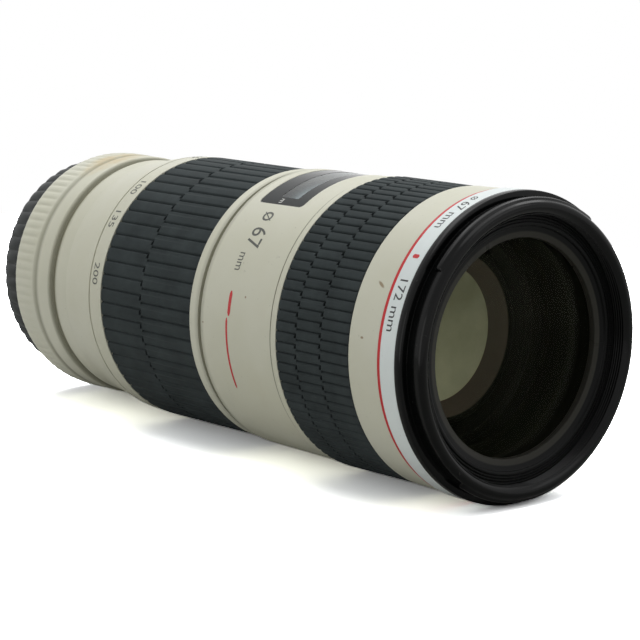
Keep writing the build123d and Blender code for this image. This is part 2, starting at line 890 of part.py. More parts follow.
def polar_point(radius, angle):
    """A point of the (y, z) plane at a radius and an angle."""
    return (radius * math.cos(math.radians(angle)), radius * math.sin(math.radians(angle)))


def turned_about(point, centre, angle):
    """A point of the (y, z) plane, turned about a centre."""
    cosine = math.cos(math.radians(angle))
    sine = math.sin(math.radians(angle))
    away = (point[0] - centre[0], point[1] - centre[1])
    return (
        centre[0] + away[0] * cosine - away[1] * sine,
        centre[1] + away[0] * sine + away[1] * cosine,
    )


with BuildPart() as iris_housing:
    turned_ring(
        [
            (iris_rear_x, iris_bore),
            (iris_floor_x, iris_bore),
            (iris_floor_x, cup_radius - iris_wall),
            (iris_front_x, cup_radius - iris_wall),
            (iris_front_x, cup_radius),
            (iris_rear_x, cup_radius),
        ]
    )
    round_pattern(
        iris_floor_x, ring_x - run_gap - iris_floor_x, post_circle, blade_count, post_radius
    )

# The drive slot follows the path of a blade's pin as the ring and the blade turn
drive_path = []
for share in (0, 0.5, 1):
    drive_start = polar_point(post_circle, drive_angle)
    drive_now = turned_about(drive_start, (post_circle, 0), blade_turn_angle * share)
    drive_path.append(turned_about(drive_now, (0, 0), -ring_turn_angle * share))

drive_arcs = []
for blade in range(blade_count):
    blade_path = [turned_about(point, (0, 0), blade * blade_step_angle) for point in drive_path]
    drive_arcs.append(ThreePointArc(*blade_path))

with BuildPart() as iris_ring:
    turned_ring(box_outline(ring_x, ring_x + ring_thickness, blade_outer, iris_ring_radius))
    with BuildSketch(Plane.YZ.offset(ring_x)) as drive_slots:
        for drive_arc in drive_arcs:
            SlotArc(drive_arc, 2 * (drive_radius + run_gap))
    extrude(drive_slots.sketch, amount=ring_thickness, mode=Mode.SUBTRACT)


def flat_sector(inner, outer, first, last):
    """A flat piece of a ring between two radii and two angles, drawn about the origin."""
    middle = (first + last) / 2
    with BuildSketch() as drawn:
        with BuildLine():
            ThreePointArc(*[polar_point(outer, angle) for angle in (first, middle, last)])
            Line(polar_point(outer, last), polar_point(inner, last))
            ThreePointArc(*[polar_point(inner, angle) for angle in (last, middle, first)])
            Line(polar_point(inner, first), polar_point(outer, first))
        make_face()
    return drawn.sketch


ear_half_angle = 4
iris_blades = []
for blade in range(blade_count):
    blade_angle = blade * blade_step_angle
    blade_x = blades_x + blade * blade_layer
    crescent = flat_sector(
        blade_inner, blade_outer, blade_angle - ear_half_angle, blade_angle + blade_span_angle
    )
    ear = flat_sector(
        blade_outer - ear_radius, post_circle + ear_radius,
        blade_angle + drive_angle - ear_half_angle, blade_angle + ear_half_angle,
    )
    with BuildPart() as iris_blade:
        with BuildSketch(Plane.YZ.offset(blade_x)) as leaf:
            add(crescent)
            add(ear)
            with Locations(polar_point(post_circle, blade_angle)):
                Circle(post_radius + run_gap, mode=Mode.SUBTRACT)
        extrude(leaf.sketch, amount=blade_thickness)
        round_pattern(
            blade_x, ring_x + ring_thickness - blade_x, post_circle, 1, drive_radius,
            blade_angle + drive_angle,
        )
    iris_blades.append(iris_blade)

# Front barrel: the tube of the focusing parts, and the white skirt before the red ring
skirt_wall = 1.3
front_spigot_length = 3.5
focus_throw_angle = 60
focus_travel = 8.0
focus_setback = 10.5
focus_cam_setback = 3.0
focus_cam_reach = 5.75
focus_angles = (90, 210, 330)
key_length = 3.2
key_setback = 1.0
key_half_angle = 4.5
key_start_angle = 300
key_margin_angle = 1.5

cell_stop_x = skirt_rear_x + skirt_wall
front_spigot_x = front_rear_x - front_spigot_length
focus_cam_front_x = cell_stop_x - focus_cam_setback
focus_cam_rear_x = main_front_x - focus_cam_reach
focus_x = focus_cam_front_x - focus_setback
key_rear_x = focus_cam_rear_x + key_setback
key_front_x = key_rear_x + key_length
key_window_angle = focus_throw_angle + 2 * key_half_angle + 2 * key_margin_angle

with BuildPart() as front_barrel:
    turned_ring(
        [
            (guide_front_x, front_tube_bore),
            (cell_stop_x, front_tube_bore),
            (cell_stop_x, front_bore),
            (front_spigot_x, front_bore),
            (front_spigot_x, ring_seat_bore),
            (front_rear_x, ring_seat_bore),
            (front_rear_x, ring_seat_radius),
            (red_rear_x, ring_seat_radius),
            (red_rear_x, skirt_front_radius),
            (skirt_rear_x, skirt_rear_radius),
            (skirt_rear_x, front_tube_outer),
            (guide_front_x, front_tube_outer),
        ]
    )
    straight_slots(
        focus_x - focus_travel, focus_x, front_tube_bore, front_tube_outer,
        slot_half_width, focus_angles,
    )
    sector(
        box_outline(
            key_rear_x - open_gap, key_front_x + open_gap,
            front_tube_bore - overrun, front_tube_outer + overrun,
        ),
        key_start_angle - focus_throw_angle / 2, key_window_angle, Mode.SUBTRACT,
    )

# Ring motor: toothed stator and rotor, behind the focus cam
motor_height = 4.8
stator_length = 6.5
stator_tooth_count = 24
stator_tooth_gap = 1.6
stator_tooth_depth = 2.0
rotor_length = 4.4

motor_radius = front_tube_bore - seat_gap
motor_bore = motor_radius - motor_height
stator_front_x = guide_front_x + stator_length
rotor_rear_x = stator_front_x + run_gap
roller_ring_x = rotor_rear_x + rotor_length + open_gap

with BuildPart() as motor_stator:
    turned_ring(box_outline(guide_front_x, stator_front_x, motor_bore, motor_radius))
    with BuildSketch(Plane.YZ.offset(stator_front_x - stator_tooth_depth)) as tooth_gaps:
        with PolarLocations((motor_bore + motor_radius) / 2, stator_tooth_count):
            Rectangle(motor_height + overrun, stator_tooth_gap)
    extrude(tooth_gaps.sketch, amount=stator_tooth_depth, mode=Mode.SUBTRACT)

with BuildPart() as motor_rotor:
    rotor_radius = front_tube_bore - run_gap
    turned_ring(box_outline(rotor_rear_x, rotor_rear_x + rotor_length, motor_bore, rotor_radius))

# Focus cam: turns inside the front barrel, and its slots drive the focusing cell
focus_slots = []
for slot_angle in focus_angles:
    focus_slots += helical_slot(
        focus_x, -focus_travel, slot_angle, focus_throw_angle, focus_cam_bore, focus_cam_outer,
        slot_half_width,
    )

with BuildPart() as focus_cam:
    turned_ring(
        [
            (roller_ring_x, motor_bore),
            (focus_cam_rear_x, motor_bore),
            (focus_cam_rear_x, focus_cam_bore),
            (focus_cam_front_x, focus_cam_bore),
            (focus_cam_front_x, focus_cam_outer),
            (roller_ring_x, focus_cam_outer),
        ]
    )
    for slot_shape in focus_slots:
        add(slot_shape, mode=Mode.SUBTRACT)
    sector(
        box_outline(
            key_rear_x, key_front_x, focus_cam_outer - focus_cam_wall / 2, drum_bore - seat_gap
        ),
        key_start_angle, 2 * key_half_angle,
    )

# Scale drum, fixed on the key that stands out through the front barrel's window
with BuildPart() as distance_scale:
    turned_ring(box_outline(guide_front_x + open_gap, key_front_x, drum_bore, drum_outer))

# Focusing cell, with a sloping stop round its glass that shows through the front
focus_length = 14.0
focus_lens_radius = 17.5
focus_element = 4.0
focus_rise = 1.8
stop_depth = 4.0
stop_flare = 3.4

focus_cell_radius = focus_cam_bore - run_gap
focus_cell_front_x = focus_x + focus_length / 2
focus_cell_rear_x = focus_x - focus_length / 2

with BuildPart() as focus_cell:
    sliding_cell(focus_x, focus_length, focus_cell_radius, focus_lens_radius, focus_angles)
    tube_outer = focus_lens_radius + seat_gap + seat_tube_wall
    turned_ring(
        [
            (focus_cell_front_x - stop_depth, tube_outer),
            (focus_cell_front_x, tube_outer),
            (focus_cell_front_x, tube_outer + stop_flare),
        ]
    )
    tube_bore = focus_lens_radius + seat_gap
    turned_ring(
        [
            (focus_cell_front_x - stop_depth, tube_bore - stop_flare),
            (focus_cell_front_x, tube_bore - stop_flare),
            (focus_cell_front_x, tube_bore + stop_flare),
            (focus_cell_front_x - stop_depth, tube_bore),
        ],
        mode=Mode.SUBTRACT,
    )

with BuildPart() as focus_rollers:
    radial_pins(
        focus_x, focus_cell_radius - roller_sunk, front_tube_outer - seat_gap,
        roller_radius, focus_angles,
    )

with BuildPart() as focus_lenses:
    focus_rim_x = focus_cell_rear_x + lens_lip + seat_gap
    lens_element(
        focus_rim_x, focus_rim_x + focus_element, focus_lens_radius, -focus_rise, -focus_rise / 2
    )
    focus_front_rim_x = focus_cell_front_x - stop_depth
    lens_element(
        focus_front_rim_x - focus_element, focus_front_rim_x, focus_lens_radius,
        -focus_rise, focus_rise / 2,
    )

# Main barrel: white shell with the window's opening and the switch plateau
neck_drop = 1.85
neck_wall = 1.4
window_setback = 4.2
window_front_margin = 7.1
window_arc_angle = 68.8
window_angle = 90
window_corner = 1.2
pane_thickness = 1.4
pane_drop = 0.05
plateau_rise = 0.7
plateau_margin = 1.2
plateau_arc_angle = 56
panel_setback = 4.0
panel_front_margin = 2.3
panel_arc_angle = 51.6
panel_gap_angle = 0.2
panel_thickness = 1.2
panel_proud = 0.3
pocket_margin = 1.0
pocket_arc_angle = 47

neck_radius = shell_rear_radius - neck_drop
plateau_radius = shell_front_radius + plateau_rise
panel_outer = plateau_radius + panel_proud
panel_inner = panel_outer - panel_thickness
panel_rear_x = main_rear_x + panel_setback
panel_front_x = main_front_x - panel_front_margin
window_rear_x = main_rear_x + window_setback
window_front_x = main_front_x - window_front_margin
main_web_rear_x = main_rear_x + web_offset


def window_shape(inner, outer, margin):
    """A curved slab with rounded corners that fills the window, with a margin round it."""
    side_angle = math.degrees(margin / outer)
    with BuildPart() as slab:
        sector(
            box_outline(window_rear_x - margin, window_front_x + margin, inner, outer),
            window_angle, window_arc_angle + 2 * side_angle,
        )
        straight_edges = slab.edges().filter_by(GeomType.LINE)
        corner_edges = straight_edges - straight_edges.filter_by(Axis.X)
        fillet(corner_edges, window_corner + margin)
    return slab.part


pane_outer = shell_rear_radius - pane_drop
window_pane = window_shape(pane_outer - pane_thickness, pane_outer, 0)
window_cutter = window_shape(shell_bore - overrun, shell_front_radius + overrun, seat_gap)

with BuildPart() as main_barrel:
    neck_rear_x = zoom_front_x + shadow_gap
    turned_ring(
        [
            (neck_rear_x, neck_radius - neck_wall),
            (main_web_rear_x, neck_radius - neck_wall),
            (main_web_rear_x, guide_outer + seat_gap),
            (main_web_front_x, guide_outer + seat_gap),
            (main_web_front_x, shell_bore),
            (main_front_x, shell_bore),
            (main_front_x, shell_front_radius),
            (main_rear_x, shell_rear_radius),
            (main_rear_x, neck_radius),
            (neck_rear_x, neck_radius),
        ]
    )
    plateau_rear_x = panel_rear_x - plateau_margin
    plateau_front_x = panel_front_x + plateau_margin
    sector(
        box_outline(plateau_rear_x, plateau_front_x, shell_bore, plateau_radius), 0, plateau_arc_angle
    )
    sector(
        box_outline(
            panel_rear_x - seat_gap, panel_front_x + seat_gap,
            panel_inner - seat_gap, panel_outer + overrun,
        ),
        0, panel_arc_angle + panel_gap_angle, Mode.SUBTRACT,
    )
    sector(
        box_outline(
            panel_rear_x + pocket_margin, panel_front_x - pocket_margin,
            shell_bore - overrun, panel_outer + overrun,
        ),
        0, pocket_arc_angle, Mode.SUBTRACT,
    )
    add(window_cutter, mode=Mode.SUBTRACT)

with BuildPart() as distance_window:
    add(window_pane)

# Switch panel with four slide switches, one above the other
switch_names = ("focus_limiter", "focus_mode", "stabiliser", "stabiliser_mode")
switch_angles = (18, 6, -6, -18)
switch_travel = 3.6
stem_half_length = 0.8
stem_half_width = 1.0
stem_gap = 0.15
knob_length = 5.2
knob_width = 3.4
knob_height = 0.9
knob_corner = 0.8
knob_lift = 0.25
foot_length = 6.0
foot_width = 4.2
foot_height = 1.0
foot_gap = 0.25

switch_x = (panel_rear_x + panel_front_x) / 2 - switch_travel / 2
knob_base = panel_outer + knob_lift
foot_top = math.sqrt((panel_inner - foot_gap) ** 2 - (foot_width / 2) ** 2)

with BuildPart() as switch_panel:
    sector(box_outline(panel_rear_x, panel_front_x, panel_inner, panel_outer), 0, panel_arc_angle)
    straight_slots(
        switch_x - stem_half_length, switch_x + stem_half_length + switch_travel,
        panel_inner, panel_outer, stem_half_width + stem_gap, switch_angles,
    )

switch_knobs = []
for switch_angle in switch_angles:
    with BuildPart() as switch_knob:
        with BuildSketch(tangent_plane(switch_x, switch_angle, foot_top - foot_height)) as foot:
            Rectangle(foot_length, foot_width)
        extrude(foot.sketch, amount=foot_height)
        with BuildSketch(tangent_plane(switch_x, switch_angle, foot_top)) as stem:
            SlotCenterToCenter(2 * stem_half_length, 2 * stem_half_width)
        extrude(stem.sketch, amount=knob_base - foot_top)
        with BuildSketch(tangent_plane(switch_x, switch_angle, knob_base)) as cap:
            RectangleRounded(knob_length, knob_width, knob_corner)
        extrude(cap.sketch, amount=knob_height)
    switch_knobs.append(switch_knob)

# Focus ring and its rubber, in three bands of 90 bars
focus_bar_count = 90
focus_groove_depth = 0.5
focus_tick_shares = (0.0, 0.278, 0.612, 1.0)

with BuildPart() as focus_ring:
    turned_ring(
        [
            (focus_rear_x, focus_sleeve_bore),
            (focus_grip_front_x, focus_sleeve_bore),
            (focus_grip_front_x, focus_seat_radius),
            (focus_grip_rear_x, focus_seat_radius),
            (focus_grip_rear_x, focus_rim_radius),
            (focus_rear_x, focus_rim_radius),
        ]
    )

with BuildPart() as focus_grip:
    for band in range(len(focus_tick_shares) - 1):
        band_start = focus_grip_rear_x + seat_gap + focus_grip_length * focus_tick_shares[band]
        share_length = focus_tick_shares[band + 1] - focus_tick_shares[band]
        grip_band(
            band_start, (focus_grip_length - seat_gap) * share_length,
            focus_seat_radius + seat_gap, focus_grip_radius, focus_groove_depth,
            focus_bar_count, band % 2 / 2,
        )

# Red ring and silver band, slipped over the front barrel
red_ring_drop = 0.05
band_drop = 0.1

with BuildPart() as red_ring:
    turned_ring(
        box_outline(
            red_rear_x, band_rear_x, ring_seat_radius + seat_gap,
            front_ring_radius - front_ring_rise + red_ring_drop,
        )
    )

with BuildPart() as name_band:
    turned_ring(
        box_outline(
            band_rear_x, front_rear_x, ring_seat_radius + seat_gap, front_ring_radius - band_drop
        )
    )

# Front ring: hood bayonet outside, filter thread inside
front_flange_length = 2.1
lip_height = 3.2
lip_rise = 0.1
lip_round = 0.7
hood_lug_setback = 1.2
hood_lug_thickness = 1.9
hood_lug_height = 0.9
hood_lug_arc_angle = 88
hood_lug_angles = (98.5, 278.5)
thread_end_chamfer = 0.9
thread_length = 3.0
retainer_length = 2.25

hood_groove_radius = thread_radius + lip_height
thread_front_x = lens_front_x - thread_end_chamfer
thread_rear_x = thread_front_x - thread_length
retainer_step_x = thread_rear_x - retainer_length
retainer_front_x = thread_rear_x - seat_gap

with BuildPart() as front_ring:
    turned_ring(
        [
            (front_spigot_x, front_bore),
            (thread_rear_x, front_bore),
            (thread_rear_x, thread_radius),
            (thread_front_x, thread_radius),
            (lens_front_x, thread_radius + thread_end_chamfer),
            (lens_front_x, hood_groove_radius + lip_rise - lip_round),
            (lens_front_x - lip_round, hood_groove_radius + lip_rise),
            (front_rear_x + front_flange_length, hood_groove_radius),
            (front_rear_x + front_flange_length, front_ring_radius),
            (front_rear_x, front_ring_radius),
            (front_rear_x, front_spigot_radius),
            (front_spigot_x, front_spigot_radius),
        ]
    )
    hood_lug_front_x = lens_front_x - hood_lug_setback
    hood_lug_section = box_outline(
        hood_lug_front_x - hood_lug_thickness, hood_lug_front_x,
        hood_groove_radius - overrun, hood_groove_radius + hood_lug_height,
    )
    for hood_lug_angle in hood_lug_angles:
        sector(hood_lug_section, hood_lug_angle, hood_lug_arc_angle)

# Front lens group: cell, two elements and the stepped black retainer
front_glass_setback = 6.1
front_cell_wall = 3.0
front_seat_step = 2.0
front_seat_lip = 2.0
front_lip_length = 1.6
first_element_length = 6.1
first_element_rise = 3.2
first_element_hollow = 1.5
second_element_length = 5.2
second_element_rise = 2.2
second_element_hollow = 1.2
front_cell_step = 7.1
retainer_band = 2.8
retainer_gap = 0.25
retainer_lip_length = 1.7

front_glass_radius = thread_radius - front_glass_setback
front_cell_front_x = retainer_step_x - seat_gap
front_seat_radius = front_cell_radius - front_cell_wall
second_seat_radius = front_seat_radius - front_seat_step
first_rim_rear_x = cell_stop_x + front_lip_length + front_cell_step
first_rim_front_x = first_rim_rear_x + first_element_length
second_rim_rear_x = cell_stop_x + front_lip_length + seat_gap

with BuildPart() as front_cell:
    turned_ring(
        [
            (cell_stop_x, second_seat_radius - front_seat_lip),
            (cell_stop_x + front_lip_length, second_seat_radius - front_seat_lip),
            (cell_stop_x + front_lip_length, second_seat_radius),
            (first_rim_rear_x, second_seat_radius),
            (first_rim_rear_x, front_seat_radius),
            (front_cell_front_x, front_seat_radius),
            (front_cell_front_x, front_cell_radius),
            (cell_stop_x, front_cell_radius),
        ]
    )

with BuildPart() as front_lenses:
    lens_element(
        first_rim_rear_x + seat_gap, first_rim_front_x, front_seat_radius - seat_gap,
        first_element_rise, -first_element_hollow,
    )
    lens_element(
        second_rim_rear_x, second_rim_rear_x + second_element_length,
        second_seat_radius - seat_gap, second_element_rise, -second_element_hollow,
    )

with BuildPart() as front_retainer:
    glass_fall = sagitta(front_seat_radius - seat_gap, first_element_rise, front_glass_radius)
    glass_edge_x = first_rim_front_x + first_element_rise - glass_fall
    turned_ring(
        [
            (glass_edge_x + retainer_gap, front_glass_radius),
            (glass_edge_x + retainer_gap + retainer_lip_length, front_glass_radius),
            (retainer_front_x, thread_radius - retainer_band),
            (retainer_front_x, front_bore - seat_gap),
            (retainer_step_x + seat_gap, front_bore - seat_gap),
            (retainer_step_x + seat_gap, front_seat_radius - seat_gap),
            (first_rim_front_x + retainer_gap, front_seat_radius - seat_gap),
        ]
    )

# Rear cap: scalloped skirt, stepped end and three lugs that hold behind the mount's
cap_room = 1.0
cap_skirt_wall = 1.3
cap_scallop_count = 50
cap_scallop_depth = 0.6
cap_skirt_length = 5.75
cap_end_wall = 1.2
cap_end_room = 0.45
cap_ledge = 1.6
cap_end_step = 0.8
cap_end_rim = 2.0
cap_lug_arc_angle = 44
cap_lug_turn_angle = 60
cap_lug_gap = 0.4
cap_shoulder = 1.2

cap_skirt_bore = flange_radius + cap_room
cap_skirt_radius = cap_skirt_bore + cap_skirt_wall
cap_inner_bore = cap_skirt_bore - cap_ledge
cap_end_radius = cap_inner_bore - cap_end_step
cap_end_bore = cap_end_radius - cap_end_rim
cap_front_x = collar_setback - open_gap / 2
cap_step_x = cap_front_x - cap_skirt_length
cap_floor_x = contact_rear_x - pin_proud - cap_end_room
cap_rear_x = cap_floor_x - cap_end_wall
cap_seat_x = -gasket_proud - open_gap
cap_lug_front_x = -cap_lug_gap
cap_lug_rear_x = lug_front_x + cap_lug_gap

with BuildPart() as rear_cap:
    grip_band(
        cap_step_x, cap_skirt_length, cap_skirt_bore, cap_skirt_radius,
        cap_scallop_depth, cap_scallop_count, 0,
    )
    turned_ring(
        [
            (cap_rear_x, 0),
            (cap_rear_x, cap_end_radius),
            (cap_step_x, cap_end_radius),
            (cap_step_x, cap_skirt_bore + seat_gap),
            (cap_seat_x, cap_skirt_bore + seat_gap),
            (cap_seat_x, cap_inner_bore),
            (cap_step_x + cap_shoulder, cap_inner_bore),
            (cap_step_x + cap_shoulder, cap_end_bore),
            (cap_floor_x, cap_end_bore),
            (cap_floor_x, 0),
        ]
    )
    cap_lug_section = box_outline(
        cap_lug_rear_x, cap_lug_front_x, throat_radius + cap_lug_gap, cap_skirt_bore
    )
    for lug_angle in lug_angles:
        sector(cap_lug_section, lug_angle + cap_lug_turn_angle, cap_lug_arc_angle)

pieces = {
    "front_ring": front_ring,
    "front_retainer": front_retainer,
    "front_cell": front_cell,
    "front_lenses": front_lenses,
    "name_band": name_band,
    "red_ring": red_ring,
    "front_barrel": front_barrel,
    "focus_ring": focus_ring,
    "focus_grip": focus_grip,
    "focus_cam": focus_cam,
    "distance_scale": distance_scale,
    "focus_cell": focus_cell,
    "focus_rollers": focus_rollers,
    "focus_lenses": focus_lenses,
    "motor_stator": motor_stator,
    "motor_rotor": motor_rotor,
    "main_barrel": main_barrel,
    "distance_window": distance_window,
    "switch_panel": switch_panel,
    "zoom_ring": zoom_ring,
    "zoom_grip": zoom_grip,
    "zoom_key_screws": zoom_key_screws,
    "cam_barrel": cam_barrel,
    "guide_barrel": guide_barrel,
    "variator_cell": variator_cell,
    "variator_rollers": variator_rollers,
    "variator_lenses": variator_lenses,
    "compensator_cell": compensator_cell,
    "compensator_rollers": compensator_rollers,
    "compensator_lens": compensator_lens,
    "iris_housing": iris_housing,
    "iris_ring": iris_ring,
    "stabiliser_cup": stabiliser_cup,
    "yaw_frame": yaw_frame,
    "pitch_frame": pitch_frame,
    "stabiliser_lens": stabiliser_lens,
    "rear_cell": rear_cell,
    "rear_lenses": rear_lenses,
    "rear_barrel": rear_barrel,
    "mount_collar": mount_collar,
    "lens_mount": lens_mount,
    "mount_screws": mount_screws,
    "mount_gasket": mount_gasket,
    "rear_baffle": rear_baffle,
    "contact_block": contact_block,
    "contact_pins": contact_pins,
    "main_board": main_board,
    "rear_cap": rear_cap,
}
for number, iris_blade in enumerate(iris_blades, start=1):
    pieces[f"iris_blade_{number}"] = iris_blade
for switch_name, switch_knob in zip(switch_names, switch_knobs):
    pieces[f"{switch_name}_switch"] = switch_knob

for name, piece in pieces.items():
    piece.part.label = name
    export_step(piece.part, f"parts/{name}.step")
print(len(pieces), "pieces")
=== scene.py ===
# %% [markdown]
# # Dressing a white telephoto zoom lens
# The solid model gives every piece its true size and place, but no looks. We
# could model the lens anew here. Instead we load the solid pieces from the
# frame and dress them, because then each one keeps its place. The optical axis
# lies along X, with the mount at zero. Blender works in metres, so the sizes of
# the lens, which are in mm, get a factor MM.

# %% Load the frame
import math
import bpy
from mathutils import Matrix, Vector


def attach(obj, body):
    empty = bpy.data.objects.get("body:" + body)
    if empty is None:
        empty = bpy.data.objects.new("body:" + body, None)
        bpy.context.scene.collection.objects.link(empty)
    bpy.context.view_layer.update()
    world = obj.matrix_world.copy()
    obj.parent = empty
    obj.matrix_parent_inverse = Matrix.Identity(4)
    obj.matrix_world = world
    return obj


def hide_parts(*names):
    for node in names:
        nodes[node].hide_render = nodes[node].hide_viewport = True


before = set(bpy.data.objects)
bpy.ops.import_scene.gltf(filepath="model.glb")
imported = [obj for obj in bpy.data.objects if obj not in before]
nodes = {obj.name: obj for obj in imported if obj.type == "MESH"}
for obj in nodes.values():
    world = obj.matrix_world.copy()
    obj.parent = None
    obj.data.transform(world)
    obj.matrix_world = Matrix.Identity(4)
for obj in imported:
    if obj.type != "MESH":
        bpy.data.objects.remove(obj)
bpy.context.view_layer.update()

MM = 0.001

# %% [markdown]
# A studio portrait begins with the camera. A constraint could aim it at the
# lens, but the photograph fixes how it sees: level, in front and a little above,
# with a long focal length that flattens perspective. So the camera's place and
# its three axes are written out.

# %% Camera
camera_place = (0.588057, -0.423779, 0.112214)
camera_right = (0.650940, 0.759129, 0.0)
camera_down = (0.131997, -0.113185, -0.984767)
camera_forward = (-0.747566, 0.641024, -0.173879)


def new_object(name, data):
    """Make an object from its data and put it into the scene."""
    made = bpy.data.objects.new(name, data)
    bpy.context.scene.collection.objects.link(made)
    return made


camera_data = bpy.data.cameras.new("portrait_camera")
camera_data.lens = 141.17
camera_data.sensor_width = 36.0
camera_data.clip_end = 20.0
camera = new_object("portrait_camera", camera_data)
axes = [camera_right, [-v for v in camera_down], [-v for v in camera_forward]]
camera.matrix_world = Matrix.Translation(camera_place) @ Matrix(axes).transposed().to_4x4()
bpy.context.scene.camera = camera
print("Camera stands", round(math.dist(camera_place, (0, 0, 0)), 3), "m from the mount")

# %% [markdown]
# The lens lies on a pale sheet that shows only its soft contact shadow. A plain
# square would do, but an oval has no corners to show. The lens rests on its
# front ring and on the rear of its zoom rubber, which differ in size, so the
# sheet leans by about one degree against the optical axis.

# %% Floor
front_rest = (166.0, -38.5)
rear_rest = (47.0, -36.2)
lean = math.atan2(front_rest[1] - rear_rest[1], front_rest[0] - rear_rest[0])
floor_middle = 80.0
floor_drop = front_rest[1] - (front_rest[0] - floor_middle) * math.tan(lean)
floor_half_length = 0.442
floor_half_width = 0.34
floor_corners = 60

floor_turns = [2 * math.pi * corner / floor_corners for corner in range(floor_corners)]
floor_rim = [(floor_half_length * math.cos(turn), floor_half_width * math.sin(turn), 0)
             for turn in floor_turns]
floor_mesh = bpy.data.meshes.new("floor")
floor_mesh.from_pydata(floor_rim, [], [tuple(range(floor_corners))])
floor = new_object("floor", floor_mesh)
floor.location = (floor_middle * MM, 0, floor_drop * MM)
floor.rotation_euler = (0, -lean, 0)
print("Floor leans by", round(math.degrees(lean), 2), "degrees")


# %% [markdown]
# Every finish of the lens is a tree of shader nodes. Nodes can be joined by
# hand in the editor, or one by one in code. A small helper is shorter: it adds a
# node, fills its inputs in their order, and joins a socket where it is given one.

# %% Helper for node trees
class NodeTree:
    """A node tree, with short words for the nodes that the finishes need."""

    def __init__(self, tree):
        self.tree = tree
        self.tree.nodes.clear()

    def feed(self, socket, value):
        """Set an input to a value, or join it to another node's output."""
        if isinstance(value, bpy.types.NodeSocket):
            self.tree.links.new(value, socket)
        else:
            socket.default_value = value

    def node(self, kind, settings=None, **inputs):
        """Add a node; an input is given by its name, with _ for a space."""
        made = self.tree.nodes.new("ShaderNode" + kind)
        for key, value in (settings or {}).items():
            setattr(made, key, value)
        for key, value in inputs.items():
            self.feed(made.inputs[key.replace("_", " ")], value)
        return made

    def fill(self, made, *values):
        """Fill a node's inputs in their order and give its first output."""
        for socket, value in zip(made.inputs, values):
            self.feed(socket, value)
        return made.outputs[0]

    def math(self, operation, *values):
        return self.fill(self.node("Math", {"operation": operation}), *values)

    def mix(self, share, first, second):
        return self.fill(self.node("MixRGB"), share, first, second)

    def remap(self, value, span, result):
        """Stretch a value from one (low, high) span to another, held inside it."""
        return self.fill(self.node("MapRange", {"clamp": True}), value, *span, *result)

    def where(self):
        """The place on the piece, in metres."""
        return self.node("TexCoord").outputs["Object"]

    def noise(self, place, scale, detail=3.0, rough=0.55):
        made = self.node("TexNoise", Vector=place, Scale=scale, Detail=detail, Roughness=rough)
        return made.outputs[0]

    def bump(self, height, depth, edge=0.0):
        """Turn a height into a normal, depth in mm; edge rounds corners by that many mm."""
        made = self.node("Bump", Height=height, Distance=depth * MM)
        if edge:
            rounded = self.node("Bevel", {"samples": 4}, Radius=edge * MM)
            self.feed(made.inputs["Normal"], rounded.outputs[0])
        return made.outputs[0]


print("Helper for node trees ready")


# %% [markdown]
# A painted or moulded surface has one main colour with others laid over it:
# age, dust, dirt. All of that could be one long sum of nodes. We keep the colour
# reached so far in the recipe instead, so each layer is one short line.

# %% Material recipe
class Recipe(NodeTree):
    """A material under construction: its main shader and its colour so far."""

    def __init__(self, name, tone):
        self.material = bpy.data.materials.new(name)
        self.material.use_nodes = True
        super().__init__(self.material.node_tree)
        self.out = self.node("OutputMaterial")
        self.shader = self.node("BsdfPrincipled")
        self.feed(self.out.inputs[0], self.shader.outputs[0])
        self.base = tone

    def set(self, **inputs):
        """Feed inputs of the main shader."""
        for key, value in inputs.items():
            self.feed(self.shader.inputs[key.replace("_", " ")], value)

    def paint(self, share, tone):
        """Lay a colour over the present one, as far as the share says."""
        self.base = self.mix(share, self.base, tone)
        self.set(Base_Color=self.base)


def colour(red, green, blue):
    """A screen colour, 0 to 255, as the linear colour that shaders need."""
    shares = [v / 255 for v in (red, green, blue)]
    return tuple(((v + 0.055) / 1.055) ** 2.4 if v > 0.04 else v / 12.92
                 for v in shares) + (1.0,)


print("Middle grey is", round(colour(128, 128, 128)[0], 3), "in linear light")

# %% [markdown]
# Marks, wear and tool lines follow the barrel: how far along the axis, at which
# angle round it, how high over it. The pieces could be unwrapped for that. But
# they are round about one axis, so their place gives all three with a little
# sum, also inside, where unwrapping would be slow.

# %% Recipe that unrolls the barrel
map_radius = 36.0
skin_radius = 37.5
spot_rim = (0.3, 1.1)


class BarrelRecipe(Recipe):
    """A recipe that knows its place: along in mm, angle in degrees, and the flat map."""

    def __init__(self, name, tone):
        super().__init__(name, tone)
        self.place = self.where()
        parts = self.node("SeparateXYZ", Vector=self.place).outputs
        self.across, self.up = parts["Y"], parts["Z"]
        self.along = self.math("MULTIPLY", parts["X"], 1 / MM)
        turn = self.math("ARCTAN2", self.up, self.across)
        self.angle = self.math("MULTIPLY", turn, math.degrees(1))
        around = self.math("MULTIPLY", turn, map_radius)
        self.flat = self.node("CombineXYZ", X=self.along, Y=around).outputs[0]

    def height(self):
        """The distance from the optical axis, in mm."""
        squared = self.math("ADD", self.math("POWER", self.across, 2.0),
                            self.math("POWER", self.up, 2.0))
        return self.math("MULTIPLY", self.math("SQRT", squared), 1 / MM)

    def spot(self, x, angle, length, width, tilt=0.0, radius=skin_radius):
        """A soft-edged elongated mark: 1 in its middle and 0 outside it."""
        off_x = self.math("SUBTRACT", self.along, x)
        off_round = self.math("MULTIPLY", self.math("SUBTRACT", self.angle, angle),
                              math.radians(radius))
        cosine, sine = math.cos(tilt), math.sin(tilt)
        lengthwise = self.math("ADD", self.math("MULTIPLY", off_x, cosine),
                               self.math("MULTIPLY", off_round, sine))
        crosswise = self.math("SUBTRACT", self.math("MULTIPLY", off_round, cosine),
                              self.math("MULTIPLY", off_x, sine))
        lengthwise = self.math("DIVIDE", lengthwise, length / 2)
        crosswise = self.math("DIVIDE", crosswise, width / 2)
        reach = self.math("ADD", self.math("MULTIPLY", lengthwise, lengthwise),
                          self.math("MULTIPLY", crosswise, crosswise))
        return self.remap(reach, spot_rim, (1.0, 0.0))


